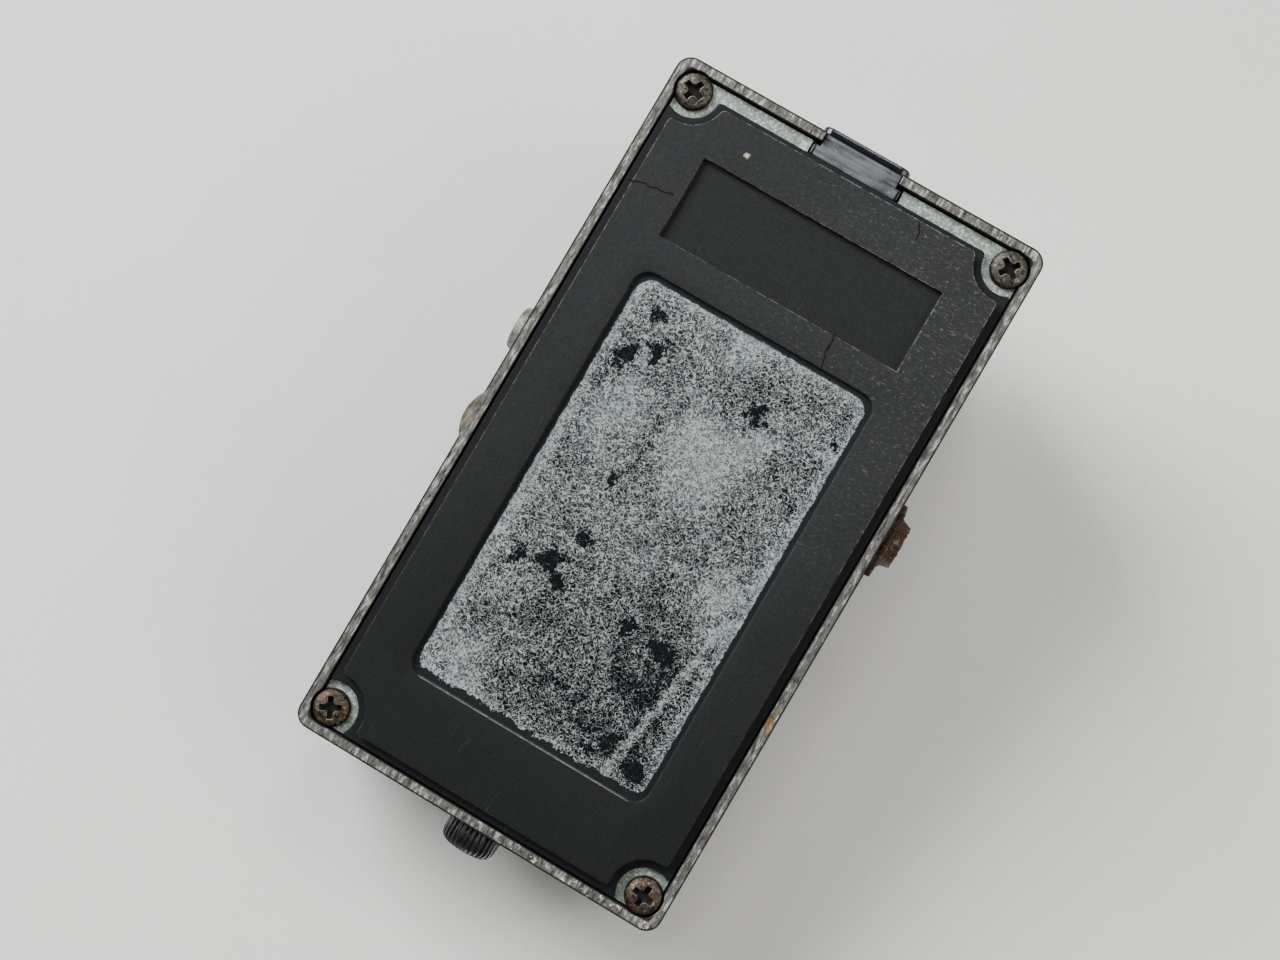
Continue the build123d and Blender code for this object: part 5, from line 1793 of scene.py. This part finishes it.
@dataclass
class Studio:
    """Pale sheets, soft lights, world and camera."""

    lens: float = 56.25
    sensor: float = 36.0
    eye: Point = (-19.901, -6.919, -311.857)
    aim: Point = (4.63, -1.05, 1.2)
    up: Point = (0.5061, 0.8607, 0.0)
    rest_front: Pair = (-58.5, 33.2)
    rest_rear: Pair = (30.3, 59.0)
    world: Colour = (0.80, 0.795, 0.78)
    world_strength: float = 0.72
    world_below: float = 0.13
    world_rise: Pair = (-0.75, -0.12)

    def sheet(self, name: str, finish: Finish, size: float, tilt: float, centre: Point, down: bool) -> None:
        """Adds a pale sheet that only the camera sees.

        Args:
            name: The sheet's name.
            finish: Its surface.
            size: Half of its side, in millimetres.
            tilt: Rise towards the rear, in radians.
            centre: A point on it.
            down: Whether its front faces down.
        """
        shape = bmesh.new()
        turn = Matrix.Translation(centre) @ Matrix.Rotation(tilt, 4, "X")
        bmesh.ops.create_grid(shape, x_segments=8, y_segments=8, size=size, matrix=turn)
        if down:
            bmesh.ops.reverse_faces(shape, faces=shape.faces)
        made = placed(name, shape)
        made.data.materials.append(material_of(finish))
        made.visible_diffuse = made.visible_glossy = made.visible_transmission = made.visible_shadow = False

    def light(self, name: str, place: Point, target: Point, size: float, power: float,
              tint: Colour = (1.0, 1.0, 1.0)) -> None:
        """Adds a soft square light that isn't seen itself.

        Args:
            name: The light's name.
            place: Its centre, in metres.
            target: The point that it faces, in metres.
            size: Its side, in metres.
            power: Its power, in watts.
            tint: Its colour.
        """
        data = bpy.data.lights.new(name, "AREA")
        data.shape, data.size, data.energy, data.color = "SQUARE", size, power, tint
        made = bpy.data.objects.new(name, data)
        made.location = place
        made.rotation_mode = "QUATERNION"
        made.rotation_quaternion = (Vector(target) - Vector(place)).to_track_quat("-Z", "Y")
        made.visible_camera = False
        bpy.context.scene.collection.objects.link(made)

    def camera(self) -> None:
        """Adds the camera, below the base and looking up at it."""
        data = bpy.data.cameras.new("camera")
        data.lens, data.sensor_width = self.lens, self.sensor
        data.clip_start, data.clip_end = 0.01, 20.0
        made = bpy.data.objects.new("camera", data)
        back = (Vector(self.eye) - Vector(self.aim)).normalized()
        right = Vector(self.up).cross(back).normalized()
        turn = Matrix((right, back.cross(right), back)).transposed().to_4x4()
        made.matrix_world = Matrix.Translation(Vector(self.eye) * MM) @ turn
        bpy.context.scene.collection.objects.link(made)
        bpy.context.scene.camera = made

    def room(self) -> None:
        """Sets the world: a pale room, dim below the horizon."""
        world = bpy.data.worlds.new("pale_room")
        world.use_nodes = True
        tree = world.node_tree
        rise = tree.nodes.new("ShaderNodeSeparateXYZ")
        tree.links.new(tree.nodes.new("ShaderNodeTexCoord").outputs["Generated"], rise.inputs[0])
        level = tree.nodes.new("ShaderNodeMapRange")
        level.interpolation_type = "SMOOTHSTEP"
        for i, value in enumerate((*self.world_rise, self.world_below, self.world_strength), start=1):
            level.inputs[i].default_value = value
        tree.links.new(rise.outputs["Z"], level.inputs[0])
        ground = tree.nodes["Background"]
        ground.inputs[0].default_value = (*self.world, 1.0)
        tree.links.new(level.outputs[0], ground.inputs[1])
        bpy.context.scene.world = world

    def build(self) -> None:
        """Builds the cloth that the pedal lies on, the floor that it stands on, lights and camera."""
        self.room()
        (y0, z0), (y1, z1) = self.rest_front, self.rest_rear
        tilt = math.atan2(z1 - z0, y1 - y0)
        cloth = PaleSheet("pale_cloth", (0.90, 0.893, 0.858), fade_from=600.0, fade_to=1000.0, grazing=True)
        self.sheet("lying_cloth", cloth, 1200.0, tilt, (0.0, y0, z0), down=True)
        floor = PaleSheet("pale_floor", (0.70, 0.695, 0.68), fade_from=350.0, fade_to=1300.0, grazing=False)
        self.sheet("standing_floor", floor, 1500.0, 0.0, (0.0, 0.0, -0.02), down=False)
        self.light("window_light", (0.70, 0.28, -0.54), (0.0, 0.0, 0.02), 0.6, 15.0, (0.96, 0.98, 1.0))
        self.light("room_fill", (-0.66, 0.20, -0.60), (0.0, 0.0, 0.02), 0.7, 4.5, (1.0, 0.98, 0.95))
        self.light("edge_strip", (0.06, 0.50, -0.56), (0.0, 0.0, 0.0), 0.16, 1.1)
        self.light("top_key", (-0.55, -0.50, 0.75), (0.0, 0.0, 0.03), 0.55, 8.0, (1.0, 0.99, 0.97))
        self.light("top_fill", (0.65, -0.15, 0.45), (0.0, 0.0, 0.03), 0.7, 3.0, (0.96, 0.98, 1.0))
        self.light("top_rim", (0.15, 0.75, 0.55), (0.0, 0.0, 0.03), 0.5, 4.0)
        self.camera()


def main() -> None:
    """Builds every sub-assembly in order."""
    logging.basicConfig(level=logging.INFO, format="%(name)s: %(message)s")
    for kind in (Casting, RubberBase, PanScrews, Treadle, Thumbscrew, Sockets, Controls, Inside, Studio):
        assembly = kind()
        assembly.build()
        LOG.info("finished %s", type(assembly).__name__)


if __name__ == "__main__":
    main()
